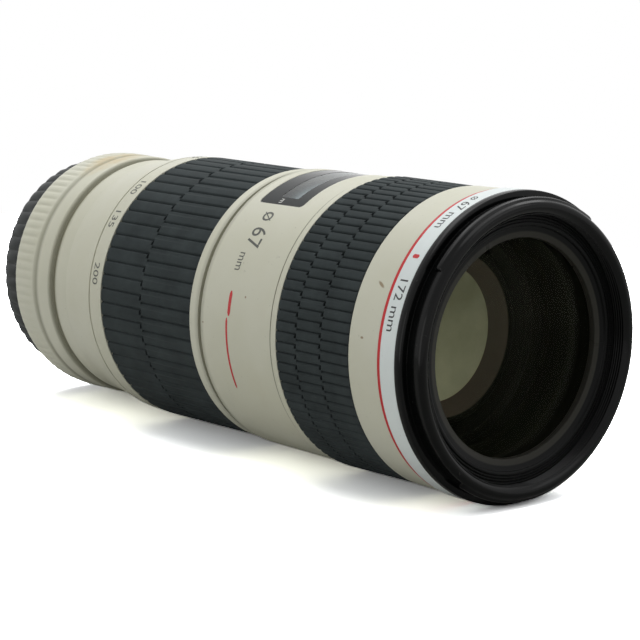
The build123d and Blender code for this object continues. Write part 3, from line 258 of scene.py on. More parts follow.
print("The flat map is", round(2 * math.pi * map_radius, 1), "mm round")

# %% [markdown]
# The barrel is die-cast and turned metal under a thick cream enamel. One flat
# colour would look like a toy, and an image would blur up close. Noise stays
# sharp at any distance, so it yellows the enamel in patches, dusts its pores and
# gives it a slightly pebbled, satin skin.

# %% Enamel
def enamel(name, tone, aged, roughness=0.42, pebble=0.012):
    """Satin enamel on metal with ageing, specks of dust and a pebbled skin."""
    recipe = BarrelRecipe(name, tone)
    patches = recipe.noise(recipe.place, scale=38.0, detail=4.0)
    recipe.paint(recipe.remap(patches, (0.35, 0.75), (0.0, 0.55)), aged)
    specks = recipe.noise(recipe.place, scale=900.0, detail=2.0)
    recipe.paint(recipe.remap(specks, (0.70, 0.78), (0.0, 0.30)), colour(150, 145, 128))
    rubbed = recipe.noise(recipe.flat, scale=0.35, detail=5.0, rough=0.65)
    sheen = recipe.remap(rubbed, (0.3, 0.7), (roughness - 0.06, roughness + 0.08))
    grain = recipe.noise(recipe.place, scale=2600.0, detail=2.0)
    recipe.set(Roughness=sheen, IOR=1.4, Normal=recipe.bump(grain, pebble, edge=0.35))
    return recipe


cream = enamel("cream_enamel", tone=colour(218, 217, 200), aged=colour(206, 204, 180))
silver = enamel("silver_enamel", tone=colour(236, 243, 242), aged=colour(222, 230, 228),
                roughness=0.34)
red = enamel("red_enamel", tone=colour(206, 42, 48), aged=colour(186, 36, 40),
             roughness=0.36, pebble=0.006)
print("Enamels:", cream.material.name, silver.material.name, red.material.name)

# %% [markdown]
# This barrel has been handled. It has a few brown rubs and a stain near the rear,
# and painted shade darkens the steps where its rings meet. They could be painted
# on by hand, but a soft spot at a named place is easy to move. Everything nearer
# to the axis, in the gaps and the inside, gets a dark painted shade.

# %% Wear and painted shade of the cream barrel
brown_rub = colour(132, 101, 58)
rub_share = 0.75
# Each rub has a place along the axis, an angle, a length, a width and a tilt.
rubs = [
    (155.2, 152.0, 3.2, 0.9, 0.5),
    (152.8, 172.0, 1.2, 0.7, 0.0),
    (107.2, 166.0, 0.7, 0.7, 0.0),
    (91.0, 179.0, 0.7, 0.5, 0.0),
]
for rub in rubs:
    cream.paint(cream.math("MULTIPLY", cream.spot(*rub), rub_share), brown_rub)

stain = cream.spot(x=11.5, angle=101.0, length=12.0, width=24.0, radius=34.0)
ragged = cream.remap(cream.noise(cream.place, scale=260.0), (0.35, 0.6), (0.2, 0.55))
cream.paint(cream.math("MULTIPLY", stain, ragged), colour(206, 178, 120))

# Each shaded step has a place along the axis, half its width, its fade and its share.
shaded_steps = [
    (18.5, 0.3, 1.3, 0.95),
    (11.2, 0.3, 1.3, 0.5),
    (89.0, 1.1, 1.3, 0.4),
    (118.32, 0.1, 0.22, 0.9),
]
# Each step gets a band of painted shade, darkest at the step itself.
for step_x, half_width, fade, share in shaded_steps:
    off_step = cream.math("ABSOLUTE", cream.math("SUBTRACT", cream.along, step_x))
    step_shade = cream.remap(off_step, (half_width, half_width + fade), (share, 0.0))
    cream.paint(step_shade, colour(112, 110, 90))

# The rear of the barrel is slimmer, so its inside lies nearer to the axis.
slim_end = (60.0, 61.0)
inside_radius = (31.7, 34.5)
# Painted shade: everything nearer to the axis than this, in the gaps and inside, is darkened.
painted_shade_below = cream.remap(cream.along, slim_end, inside_radius)
cream.paint(cream.math("LESS_THAN", cream.height(), painted_shade_below), colour(74, 70, 60))
print("Rubs:", len(rubs), "and shaded steps:", len(shaded_steps))

# %% [markdown]
# The grips are moulded rubber. Rubber is nearly black but catches a broad grey
# sheen, and skin oil and dust leave its bars patchy. Painted shade keeps its
# grooves darker than its bars. The grooves could be a mask painted on. The height
# over the axis knows them already, and a very fine grain keeps the highlights soft.

# %% Moulded rubber
def rubber(name, seat_radius, top_radius):
    """Dark blue-grey rubber, patchy on its raised bars, with painted shade in its grooves."""
    recipe = BarrelRecipe(name, colour(30, 33, 34))
    patches = recipe.noise(recipe.flat, scale=0.12, detail=4.0, rough=0.6)
    bar_tone = recipe.mix(recipe.remap(patches, (0.35, 0.75), (0.15, 1.0)),
                          colour(52, 57, 58), colour(68, 74, 75))
    # Painted shade: the grooves keep the dark base tone, the bars get the paler patchy tone.
    raised = recipe.remap(recipe.height(), (seat_radius, top_radius), (0.0, 1.0))
    recipe.paint(raised, bar_tone)
    lint = recipe.noise(recipe.place, scale=1500.0, detail=2.0)
    recipe.paint(recipe.remap(lint, (0.72, 0.80), (0.0, 0.35)), colour(120, 120, 112))
    grain = recipe.noise(recipe.place, scale=3200.0)
    rough = recipe.remap(patches, (0.3, 0.7), (0.46, 0.60))
    recipe.set(Roughness=rough, IOR=1.1, Normal=recipe.bump(grain, 0.02))
    return recipe.material


zoom_rubber = rubber("zoom_rubber", seat_radius=35.2, top_radius=35.7)
focus_rubber = rubber("focus_rubber", seat_radius=36.7, top_radius=37.2)
seal_rubber = rubber("seal_rubber", seat_radius=20.0, top_radius=30.0)
print("Rubbers:", zoom_rubber.name, focus_rubber.name, seal_rubber.name)

# %% [markdown]
# Black parts are never quite black: fingers, dust and grain catch the light.
# Each part could have a recipe of its own. One recipe makes them all, because
# they differ only in tone, gloss, rings and dust. The fine turned rings are
# bumps, since as a mesh they would be far too many.

# %% Black recipe
def black(name, tone, roughness, spread=0.05, rings=0.0, coat=0.0, bend=1.3, dusty=0.30,
          grainy=0.3, edge=0.3):
    """A black finish with fingerprints, dust and, where wanted, fine turned rings."""
    recipe = BarrelRecipe(name, tone)
    smears = recipe.noise(recipe.flat, scale=0.22, detail=5.0, rough=0.65)
    rough = recipe.remap(smears, (0.3, 0.7), (roughness - spread, roughness + spread))
    motes = recipe.noise(recipe.place, scale=1300.0, detail=2.0)
    recipe.paint(recipe.remap(motes, (0.71, 0.80), (0.0, dusty)), colour(95, 95, 92))
    grain = recipe.noise(recipe.place, scale=2400.0, detail=2.0)
    relief = recipe.math("MULTIPLY", grain, grainy)
    if rings:
        wave = recipe.math("SINE", recipe.math("MULTIPLY", recipe.along, rings))
        relief = recipe.math("ADD", relief, wave)
    recipe.set(Roughness=rough, IOR=bend, Coat_Weight=coat, Coat_Roughness=0.10, Coat_IOR=1.3,
               Normal=recipe.bump(relief, 0.02, edge=edge))
    return recipe


print("Black recipe ready")

# %% [markdown]
# The front ring is glossy black enamel. The bezel inside it is matt, cut with
# fine rings that swallow stray light, and paler on its inner slope. The tubes
# behind the glass are anodised, and the cell of the focusing lenses shows a
# brown ring up to its stop. Two heights over the axis part these tones, which
# spares us a cut in the solid pieces.

# %% Black finishes
gloss_black = black("gloss_black_enamel", colour(5, 6, 6), roughness=0.22, coat=0.3,
                    bend=1.18).material
bezel_tone = colour(6, 7, 7)
bezel = black("matt_black_bezel", bezel_tone, roughness=0.32, spread=0.06, rings=11.0, bend=1.2)
inner_slope = bezel.remap(bezel.height(), (28.4, 28.8), (1.0, 0.0))
bezel.set(Base_Color=bezel.mix(inner_slope, bezel_tone, colour(52, 51, 46)))
inner_black = black("black_anodised", colour(40, 40, 34), roughness=0.62, rings=1.5, bend=1.08,
                    dusty=0.0, grainy=0.02, edge=0.0).material
bore = black("brown_black_bore", colour(124, 108, 106), roughness=0.5, bend=1.2, dusty=0.0,
             grainy=0.02)
bore.paint(bore.remap(bore.height(), (20.7, 21.0), (0.0, 1.0)), colour(26, 25, 21))
cap_black = black("cap_plastic", colour(40, 43, 43), roughness=0.50, spread=0.07).material
moulded_black = black("moulded_plastic", colour(20, 20, 22), roughness=0.48, spread=0.06).material
blade_black = black("blade_coating", colour(30, 30, 32), roughness=0.42, spread=0.06).material
print("Black finishes from", gloss_black.name, "to", blade_black.name)

# %% [markdown]
# Bare metals come next: the chromed mount, turned aluminium tubes, steel
# screws, brass rollers and gold contacts. Turning leaves fine marks round the
# axis. Stretched noise could imitate them, but noise that varies only along the
# axis runs exactly round every part.

# %% Bare metals
def shaded(tone, factor, lift=0.0):
    """A linear colour made darker or paler."""
    return tuple(min(1.0, v * factor + lift) for v in tone[:3]) + (1.0,)


def bare_metal(name, tone, roughness, tool_marks):
    """Turned metal with fine circular tool marks and a few handling smears."""
    recipe = BarrelRecipe(name, tone)
    axis_only = recipe.node("CombineXYZ", X=recipe.along).outputs[0]
    lines = recipe.noise(axis_only, scale=tool_marks, detail=2.0)
    recipe.paint(recipe.remap(lines, (0.3, 0.7), (0.0, 0.6)), shaded(tone, 0.82))
    smears = recipe.noise(recipe.place, scale=120.0, detail=4.0)
    rough = recipe.remap(smears, (0.3, 0.7), (roughness - 0.06, roughness + 0.10))
    recipe.set(Metallic=1.0, Roughness=rough, Normal=recipe.bump(lines, 0.01))
    return recipe.material


chrome = bare_metal("mount_chrome", colour(205, 204, 200), roughness=0.20, tool_marks=9.0)
aluminium = bare_metal("turned_aluminium", colour(190, 191, 193), roughness=0.32, tool_marks=7.0)
steel = bare_metal("bright_steel", colour(176, 176, 178), roughness=0.26, tool_marks=5.0)
brass = bare_metal("roller_brass", colour(196, 164, 96), roughness=0.30, tool_marks=5.0)
gold = bare_metal("contact_gold", colour(232, 196, 110), roughness=0.22, tool_marks=4.0)
print("Metals from", chrome.name, "to", gold.name)


# %% [markdown]
# Lens glass is coated, so it hardly reflects: you look through it into a black
# tube and see only dim olive gleams. Real refraction is possible but noisy and
# slow. A thin mix of clear and gloss shows the same, because the bending of
# light happens out of sight. The focusing lenses are the last that can be seen.
# They are opaque and softly metallic, and their olive colour is a painted
# reflection of their coating.

# %% Glass
def coated_glass(name, tint, sheen, gloss_share):
    """Clear coated glass: mostly see-through, with a faint coloured reflection."""
    recipe = Recipe(name, tint)
    smears = recipe.noise(recipe.where(), scale=60.0, detail=4.0, rough=0.6)
    rough = recipe.remap(smears, (0.35, 0.75), (0.02, 0.07))
    clear = recipe.node("BsdfTransparent", Color=tint)
    gloss = recipe.node("BsdfGlossy", Color=sheen, Roughness=rough)
    facing = recipe.node("LayerWeight", Blend=0.5).outputs["Facing"]
    share = recipe.math("MULTIPLY", recipe.math("POWER", facing, 3.0), gloss_share)
    both = recipe.fill(recipe.node("MixShader"), share, clear.outputs[0], gloss.outputs[0])
    recipe.feed(recipe.out.inputs[0], both)
    recipe.tree.nodes.remove(recipe.shader)
    return recipe.material


front_glass = coated_glass("front_glass", tint=(0.93, 0.94, 0.90, 1), sheen=(0.80, 0.85, 0.70, 1),
                           gloss_share=0.10)
inner_glass = coated_glass("inner_glass", tint=(0.80, 0.86, 0.76, 1), sheen=(0.70, 0.80, 0.50, 1),
                           gloss_share=0.10)
# Painted reflection: the olive colour and its paler smears stand in for light sent back by the
# coating.
olive = Recipe("olive_painted_reflection", colour(192, 186, 171))
olive_reflection_smear = olive.noise(olive.where(), scale=45.0, detail=4.0, rough=0.6)
olive.paint(olive.remap(olive_reflection_smear, (0.35, 0.65), (0.0, 1.0)), colour(228, 221, 206))
olive.set(Metallic=0.4, Roughness=olive.remap(olive_reflection_smear, (0.3, 0.7), (0.42, 0.52)))
smoked_pane = coated_glass("smoked_pane", tint=(0.72, 0.75, 0.76, 1), sheen=(0.9, 0.92, 0.92, 1),
                           gloss_share=0.8)
print("Glass:", front_glass.name, inner_glass.name, olive.material.name, smoked_pane.name)

# %% [markdown]
# The last finishes are the green circuit board, the pale satin drum with the
# distance scale, and the slides of the switches. Copper traces could be drawn
# one by one. The edges of a cell pattern look like them at this size.

# %% Board, drum and switches
board = Recipe("circuit_board", colour(22, 78, 44))
board_cells = board.node("TexVoronoi", {"feature": "DISTANCE_TO_EDGE"},
                         Vector=board.where(), Scale=420.0)
traces = board.remap(board_cells.outputs[0], (0.04, 0.07), (0.45, 0.0))
board.paint(traces, colour(70, 130, 84))
board.set(Roughness=0.38, Normal=board.bump(traces, 0.03))
drum_satin = black("drum_satin", colour(182, 193, 196), roughness=0.50).material
switch_black = black("switch_black", colour(34, 34, 36), roughness=0.36).material
print("Board, drum and switches:", board.material.name, drum_satin.name, switch_black.name)

# %% [markdown]
# Now the finishes go on the solid pieces. Each could be given its finish by
# hand, but a list of pieces and finishes is easy to read and to check. The
# slides of the switches and the blades of the iris share one finish each.

# %% Put the finishes on
finishes = {
    "front_ring": gloss_black, "front_retainer": bezel.material, "front_cell": inner_black,
    "front_lenses": front_glass, "name_band": silver.material, "red_ring": red.material,
    "front_barrel": cream.material, "focus_ring": cream.material, "focus_grip": focus_rubber,
    "focus_cam": inner_black, "distance_scale": drum_satin, "focus_cell": bore.material,
    "focus_rollers": brass, "focus_lenses": olive.material, "motor_stator": steel,
    "motor_rotor": aluminium, "main_barrel": cream.material, "distance_window": smoked_pane,
    "switch_panel": moulded_black, "zoom_ring": cream.material, "zoom_grip": zoom_rubber,
    "zoom_key_screws": steel, "cam_barrel": aluminium, "guide_barrel": inner_black,
    "variator_cell": inner_black, "variator_rollers": brass, "variator_lenses": inner_glass,
    "compensator_cell": inner_black, "compensator_rollers": brass, "compensator_lens": inner_glass,
    "iris_housing": moulded_black, "iris_ring": moulded_black, "stabiliser_cup": moulded_black,
    "yaw_frame": moulded_black, "pitch_frame": moulded_black, "stabiliser_lens": inner_glass,
    "rear_cell": inner_black, "rear_lenses": inner_glass, "rear_barrel": cream.material,
    "mount_collar": cream.material, "lens_mount": chrome, "mount_screws": steel,
    "mount_gasket": seal_rubber, "rear_baffle": moulded_black, "contact_block": moulded_black,
    "contact_pins": gold, "main_board": board.material, "rear_cap": cap_black,
}
for node_name, node_object in nodes.items():
    spare = switch_black if node_name.endswith("_switch") else blade_black
    node_object.data.materials.clear()
    node_object.data.materials.append(finishes.get(node_name, spare))
print("Finished", len(nodes), "solid pieces")


# %% [markdown]
# Grips, front ring, collar and cap are all round about the axis and need finer
# shapes than the solid model holds. A turned shape could come from a curve and a
# modifier. Rings of points are as simple, and each ring may also swell or dip as
# it goes round, which makes bars, lugs and ribs.

# %% Sleeves from rings of points
sharp_angle = 38


def piece(name, mesh, finish, body):
    """Put a mesh into the scene as a piece that moves with a body."""
    mesh.materials.append(finish)
    made = new_object(name, mesh)
    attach(made, body)
    return made


def on_barrel(x, radius, turn):
    """The point, in metres, at a place in mm and a turn about the axis."""
    return x * MM, radius * MM * math.cos(turn), radius * MM * math.sin(turn)


def sleeve(name, rings, finish, body, replaced=()):
    """Join rings of (x, radius) points, in mm, into a closed sleeve about the axis."""
    count = len(rings[0])
    points = []
    for ring in rings:
        for place, (x, radius) in enumerate(ring):
            points.append(on_barrel(x, radius, 2 * math.pi * place / count))
    faces = []
    for row in range(len(rings)):
        following = (row + 1) % len(rings)
        for place in range(count):
            beside = (place + 1) % count
            faces.append((row * count + place, following * count + place,
                          following * count + beside, row * count + beside))
    mesh = bpy.data.meshes.new(name)
    mesh.from_pydata(points, [], faces)
    mesh.polygons.foreach_set("use_smooth", [True] * len(mesh.polygons))
    mesh.set_sharp_from_angle(angle=math.radians(sharp_angle))
    made = piece(name, mesh, finish, body)
    if replaced:
        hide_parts(*replaced)
    return made


def even_ring(x, radius, samples):
    return [(x, radius)] * samples


print("Sleeves turn sharp at corners over", sharp_angle, "degrees")

# %% [markdown]
# A moulded grip is a sleeve of bars with narrow grooves between them. The
# grooves of one band stand between those of the next, and each groove ends in a
# short deep tick, so the whole pattern reads as brickwork. Cutting hundreds of
# grooves is slow, so we give the radius of a band as it goes round.

# %% Bars and grooves
bar_crown = 0.14
crown_power = 2.5
groove_power = 0.8


def bar_profile(count, samples, outer, depth, groove_share, shift, tick=None, notch=0.0):
    """Radii round one band: crowned bars, V grooves and, for a tick share, deep ticks."""
    radii = []
    for place in range(count * samples):
        share = (place / samples - shift) % 1.0
        off_bar = abs(share - 0.5)
        groove = depth * max(0.0, 1 + (off_bar - 0.5) / (groove_share / 2)) ** groove_power
        if tick is not None:
            inside = (share + groove_share / 2) % 1.0
            if inside < tick + groove_share:
                edge = min(inside, tick + groove_share - inside) / (groove_share / 2)
                groove = max(groove, notch * min(1.0, edge))
        radii.append(outer - bar_crown * (off_bar * 2) ** crown_power - groove)
    return radii


print("Bars are crowned by", bar_crown, "mm")

# %% [markdown]
# The zoom grip has two bands of bars and the focusing grip has three. Each
# could be modelled by itself. They differ only in numbers, so one function
# builds both, band by band, with a chamfer at the outer ends and a row of ticks
# wherever two bands meet.

# %% Moulded grips
grip_chamfer = 0.3
joint_half = 0.42
joint_slope = 0.08
tick_share = 0.28


def grip(name, edges, count, samples, bore_radius, outer, depth, notch, groove_share,
         finish, body, replaced):
    """A grip of several bands, between the places in edges along the axis."""
    rings = [even_ring(edges[0], bore_radius, count * samples)]
    last = len(edges) - 2
    for band in range(last + 1):
        shift = band % 2 / 2
        plain = bar_profile(count, samples, outer, depth, groove_share, shift)
        low = [radius - grip_chamfer for radius in plain]
        start = edges[band] + (joint_half if band else 0.0)
        end = edges[band + 1] - (joint_half if band < last else 0.0)
        if band == 0:
            rings.append([(start, radius) for radius in low])
            start += grip_chamfer
        rings.append([(start, radius) for radius in plain])
        if band < last:
            rings.append([(end, radius) for radius in plain])
            ticks = bar_profile(count, samples, outer, depth, groove_share, shift,
                                tick_share, notch)
            for near in (joint_slope, 2 * joint_half - joint_slope):
                rings.append([(end + near, radius) for radius in ticks])
        else:
            rings.append([(end - grip_chamfer, radius) for radius in plain])
            rings.append([(end, radius) for radius in low])
    rings.append(even_ring(edges[-1], bore_radius, count * samples))
    return sleeve(name, rings, finish, body, replaced)


zoom_bars = grip("zoom_rubber_bars", edges=(45.45, 63.05, 84.7), count=60, samples=24,
                 bore_radius=34.95, outer=36.15, depth=0.42, notch=0.9, groove_share=0.2,
                 finish=zoom_rubber, body="zoom_group", replaced=["zoom_grip"])
focus_bars = grip("focus_rubber_bars", edges=(120.7, 128.25, 137.35, 147.9), count=90, samples=18,
                  bore_radius=36.25, outer=37.65, depth=0.42, notch=1.0, groove_share=0.24,
                  finish=focus_rubber, body="focus_ring", replaced=["focus_grip"])
print("Grip faces:", len(zoom_bars.data.polygons), len(focus_bars.data.polygons))


# %% [markdown]
# Two long lugs stand in the groove of the front ring and hold the hood. They
# could be joined on with a boolean, which leaves a hard seam. Here the rings of
# the groove swell into them, with rounded ends. Angles are in degrees.

# %% Rings with hood lugs
ring_samples = 720
lug_centres = (98.5, 278.5)
lug_half = 44.0
lug_end = 1.6


def off_centre(angle, centres):
    """The angle to the nearest of several centres, in degrees."""
    return min(abs((angle - centre + 180) % 360 - 180) for centre in centres)


def lug_ring(x, radius, raised_x, raised):
    """A ring that goes from one place off the lugs to another on them."""
    ring = []
    for place in range(ring_samples):
        away = off_centre(360 * place / ring_samples, lug_centres)
        inside = min(1.0, max(0.0, (lug_half - away) / lug_end))
        share = math.sqrt(1 - (1 - inside) ** 2)
        ring.append((x + (raised_x - x) * share, radius + (raised - radius) * share))
    return ring


print("Lugs reach", lug_half, "degrees to each side of", lug_centres)

# %% [markdown]
# The front ring is one turned piece: a flange, a groove for the hood, a rounded
# lip, and the filter thread inside. A screw modifier could cut a true helix. The
# turns are so fine that plain rings, one pitch apart, look the same and close
# into one clean sleeve.

# %% Front ring
flange = [(161.6, 34.1), (161.6, 35.6), (165.0, 35.6), (165.0, 38.25), (165.07, 38.42),
          (165.25, 38.5), (166.8, 38.5), (167.0, 38.42), (167.1, 38.2), (167.15, 36.4)]
lugs = [(168.3, 36.3, 168.8, 36.35), (168.9, 36.31, 168.93, 36.9), (169.1, 36.32, 169.08, 37.12),
        (169.4, 36.33, 169.35, 37.2), (170.1, 36.36, 170.1, 37.2), (170.5, 36.37, 170.5, 37.12),
        (170.8, 36.38, 170.72, 36.95), (171.05, 36.36, 170.84, 36.55),
        (171.2, 36.32, 171.1, 36.33)]
lip = [(171.45, 36.2), (171.68, 36.0), (171.86, 35.72), (171.97, 35.35), (172.0, 34.95),
       (171.96, 34.5), (171.84, 34.1), (171.55, 33.65), (171.1, 33.25)]
thread_front = 171.1
thread_turns = 4
thread_pitch = 0.75
thread_crest, thread_root = 33.12, 33.6
thread_turn = [(0.0, thread_crest), (0.12, thread_crest), (0.38, thread_root), (0.44, thread_root)]
thread = [(thread_front - turn * thread_pitch - back, radius)
          for turn in range(thread_turns) for back, radius in thread_turn]
thread_end = [(168.11, thread_crest), (168.11, flange[0][1])]

front_rings = [even_ring(*place, ring_samples) for place in flange]
front_rings += [lug_ring(*place) for place in lugs]
front_rings += [even_ring(*place, ring_samples) for place in lip + thread + thread_end]
front_ring = sleeve("front_ring_turned", front_rings, gloss_black, "housing", ["front_ring"])
print("Front ring faces:", len(front_ring.data.polygons))

# %% [markdown]
# The retainer holds the front glass. Its face is stepped with sharp rings, so
# that a stray beam is broken up, and its inner edge slopes down to the glass.
# The steps could be a bump as well, but they are coarse enough to cast shadows.

# %% Retainer
retainer_samples = 360
retainer_face = 168.0
step_floor = 167.7
step_outside = 32.7
step_pitch = 0.72
step_count = 3
step_shape = [(retainer_face, 0.0), (step_floor, 0.08), (step_floor, 0.3), (retainer_face, 0.42)]

retainer_outline = [(164.62, 30.93), (165.95, 30.93), (165.95, 33.9), (retainer_face, 33.9),
                    (retainer_face, step_outside)]
retainer_outline += [(x, step_outside - step_pitch * step - inwards)
                     for step in range(step_count) for x, inwards in step_shape]
retainer_outline += [(retainer_face, 30.3), (167.9, 30.05), (167.45, 29.9), (167.35, 29.6),
                     (167.1, 27.35), (166.95, 27.1), (166.6, 27.0), (165.4, 27.0)]
retainer_rings = [even_ring(*place, retainer_samples) for place in retainer_outline]
retainer = sleeve("stepped_retainer", retainer_rings, bezel.material, "housing",
                  ["front_retainer"])
print("Retainer faces:", len(retainer.data.polygons))


# %% [markdown]
# The collar at the rear is gripped to fit and remove the lens. Its ribs are
# soft, cast in and thick with enamel, so they are waves that fade out at both
# ends, and not cut bars.

# %% Ribbed collar
collar_ribs = 88
rib_samples = 12


def ribbed_ring(x, radius, depth):
    """A ring whose radius dips by depth in each valley between the ribs."""
    ring = []
    for place in range(collar_ribs * rib_samples):
        wave = 0.5 - 0.5 * math.cos(2 * math.pi * place / rib_samples)
        ring.append((x, radius - depth * wave ** 2))
    return ring


# Each place has its x, its radius and the depth of the ribs there.
collar_outline = [
    (0.8, 31.9, 0), (0.8, 33.2, 0), (1.0, 33.5, 0.04), (1.5, 33.7, 0.15), (2.6, 33.85, 0.23),
    (5.0, 34.03, 0.25), (7.4, 34.05, 0.25), (8.6, 34.04, 0.16), (9.4, 34.0, 0.05),
    (10.2, 33.96, 0), (10.6, 33.86, 0), (10.9, 33.62, 0), (11.45, 33.62, 0), (11.8, 33.82, 0),
    (12.2, 33.9, 0), (16.6, 33.9, 0), (17.1, 33.82, 0), (17.4, 33.62, 0), (17.6, 33.2, 0),
    (17.6, 31.9, 0)]
collar_rings = [ribbed_ring(*place) for place in collar_outline]
collar = sleeve("ribbed_collar", collar_rings, cream.material, "housing", ["mount_collar"])
print("Collar faces:", len(collar.data.polygons))

# %% [markdown]
# Where two parts of the barrel meet, the solid model leaves a narrow gap, and
# light would shine through it. The real lens has hidden shoulders there. Three
# plain rings stand in for them, because a plain ring is the least that closes a
# gap all round.

# %% Rings that close the gaps
gap_samples = 240
gap_outlines = {
    "waist_floor": [(17.62, 31.86), (17.62, 32.45), (18.6, 32.6), (19.6, 32.95), (20.48, 33.25),
                    (20.48, 31.86)],
    "seam_floor": [(39.74, 34.3), (39.74, 35.62), (40.0, 35.62), (40.0, 34.3)],
    # The neck floor lies low enough to take the dark painted shade of the cream.
    "neck_floor": [(88.24, 32.9), (88.24, 34.4), (88.56, 34.4), (88.56, 32.9)],
}
for ring_name, outline in gap_outlines.items():
    sleeve(ring_name, [even_ring(*place, gap_samples) for place in outline],
           cream.material, "housing")
print("Gaps closed by", ", ".join(gap_outlines))

# %% [markdown]
# The rear cap is moulded plastic with scallops all along its side, so that
# fingers can turn it. Three lugs inside it turn behind the lugs of the mount. The
# scallops could be cut with fifty cylinders. Here each is half a wave in the
# radius, which leaves a ridge between two, and the whole cap is one sleeve.

# %% Rear cap
cap_scallops = 50
cap_samples = 12
scallop_power = 0.7
cap_lug_centres = (30.0, 150.0, 270.0)
cap_lug_half = 22.0
cap_bore, cap_lug_top = 28.2, 25.8


def scalloped_ring(x, radius, depth):
    """A ring with ridges at its radius and scallops between them."""
    ring = []
    for place in range(cap_scallops * cap_samples):
        wave = abs(math.sin(math.pi * place / cap_samples))
        ring.append((x, radius - depth * (1 - wave ** scallop_power)))
    return ring


def cap_lug_ring(x):
    """A ring inside the cap that steps inwards at its three lugs."""
    count = cap_scallops * cap_samples
    on_lug = [off_centre(360 * place / count, cap_lug_centres) < cap_lug_half
              for place in range(count)]
    return [(x, cap_lug_top if on else cap_bore) for on in on_lug]


# Each place has its x, its radius and the depth of the scallops there.
cap_outline = [
    (-0.12, 31.3, 0), (-0.12, 31.5, 0), (-0.45, 31.85, 0), (-0.9, 32.0, 0.5), (-5.0, 31.6, 0.6),
    (-7.9, 30.95, 0.55), (-8.6, 30.6, 0.3), (-8.9, 30.2, 0), (-9.0, 29.8, 0), (-9.0, 26.4, 0),
    (-8.8, 26.1, 0), (-8.8, 25.2, 0), (-9.0, 24.9, 0), (-9.0, 0.06, 0), (-7.8, 0.06, 0),
    (-7.8, cap_bore, 0), (-2.22, cap_bore, 0)]
cap_mouth = [(-0.4, cap_bore, 0), (-0.4, 31.1, 0)]
cap_rings = [scalloped_ring(*place) for place in cap_outline]
cap_rings += [cap_lug_ring(x) for x in (-2.2, -0.42)]
cap_rings += [scalloped_ring(*place) for place in cap_mouth]
cap = sleeve("scalloped_cap", cap_rings, cap_black, "rear_cap", ["rear_cap"])
print("Cap faces:", len(cap.data.polygons))


# %% [markdown]
# Scales are printed with thick silk-screen ink, which covers a little
# unevenly. An image of the print would need unwrapped pieces and would blur.
# Ink that is its own thin mesh stays sharp, so it only needs a material.

# %% Inks
def ink(name, tone):
    """Silk-screen ink with slightly uneven cover."""
    recipe = Recipe(name, tone)
    cover = recipe.noise(recipe.where(), scale=1800.0)
    recipe.paint(recipe.remap(cover, (0.45, 0.8), (0.0, 0.6)), shaded(tone, 1.5, lift=0.01))
    recipe.set(Roughness=0.48, Normal=recipe.bump(cover, 0.008))
    return recipe.material


grey_ink = ink("grey_ink", colour(78, 80, 74))
black_ink = ink("black_ink", colour(30, 31, 31))
red_ink = ink("red_ink", colour(196, 44, 48))
white_ink = ink("white_ink", colour(226, 226, 220))
print("Inks:", grey_ink.name, black_ink.name, red_ink.name, white_ink.name)

# %% [markdown]
# Printed numbers lie on curved metal. A modifier could bend a text along a
# curve. Here we write it flat, turn it into a mesh, and wrap it round the barrel
# ourselves, so it lies exactly on the surface, with its top to the front glass.

# %% Words that wrap round the barrel
ink_lift = 0.02
digit_share = 0.69


def wrap(mesh, x, angle, radius_at):
    """Bend a flat mesh, in mm, round the barrel; radius_at gives the radius at a place."""
    for vertex in mesh.vertices:
        flat_x, flat_y, _ = vertex.co
        here = x + flat_y
        radius = radius_at(here) + ink_lift
        vertex.co = on_barrel(here, radius, math.radians(angle) + flat_x / radius)


def printed(name, words, x, angle, height, radius_at, finish, body, stretch=1.0):
    """Wrapped text, centred on a place along the axis and an angle about it."""
    curve = bpy.data.curves.new(name, "FONT")
    curve.body = words
    curve.size = height / digit_share
    curve.align_x = "CENTER"
    curve.align_y = "CENTER"
    curve.resolution_u = 6
    flat = bpy.data.objects.new(name + "_flat", curve)
    mesh = bpy.data.meshes.new_from_object(flat)
    bpy.data.objects.remove(flat)
    bpy.data.curves.remove(curve)
    for vertex in mesh.vertices:
        vertex.co.x *= stretch
    wrap(mesh, x, angle, radius_at)
    mesh.name = name
    mesh.materials.clear()
    piece(name, mesh, finish, body)


print("Ink stands", ink_lift, "mm proud")

# %% [markdown]
# Accents and parting lines are printed too. A stretched dash would do for a
# short one, but a wide line needs points all along to follow the curve, so it is
# built from columns that get shorter at its rounded corners.

# %% Lines that wrap round the barrel
line_column = 0.8
corner_share = 0.3


def corner_cut(from_end, corner):
    """How much a rounded corner takes off a strip at this distance from its end."""
    inside = min(corner, max(0.0, corner - from_end))
    return corner - math.sqrt(corner ** 2 - inside ** 2)


def printed_line(name, x, angle, along, around, radius_at, finish, body):
    """A printed line, with rounded corners, wrapped round the barrel."""
    corner = min(along, around) * corner_share
    columns = max(2, int(around / line_column))
    points = []
    for column in range(columns + 1):
        across = -around / 2 + around * column / columns
        reach = along / 2 - corner_cut(around / 2 - abs(across), corner)
        points += [(across, -reach, 0), (across, reach, 0)]
    faces = [(first, first + 2, first + 3, first + 1) for first in range(0, 2 * columns, 2)]
    mesh = bpy.data.meshes.new(name)
    mesh.from_pydata(points, [], faces)
    wrap(mesh, x, angle, radius_at)
    piece(name, mesh, finish, body)


print("A line has a column of points about every", line_column, "mm")

# %% [markdown]
# The zoom ring carries the focal lengths in grey, on a sloping strip behind the
# rubber. The zoom cam spaces them unevenly, so their angles are written out and
# not worked out. The strip is a cone, and the print has to follow it.

# %% Zoom scale
def cone(start, end):
    """The radius along a surface that runs straight between two (x, radius) points."""
    slope = (end[1] - start[1]) / (end[0] - start[0])
    return lambda x: start[1] + slope * (x - start[0])


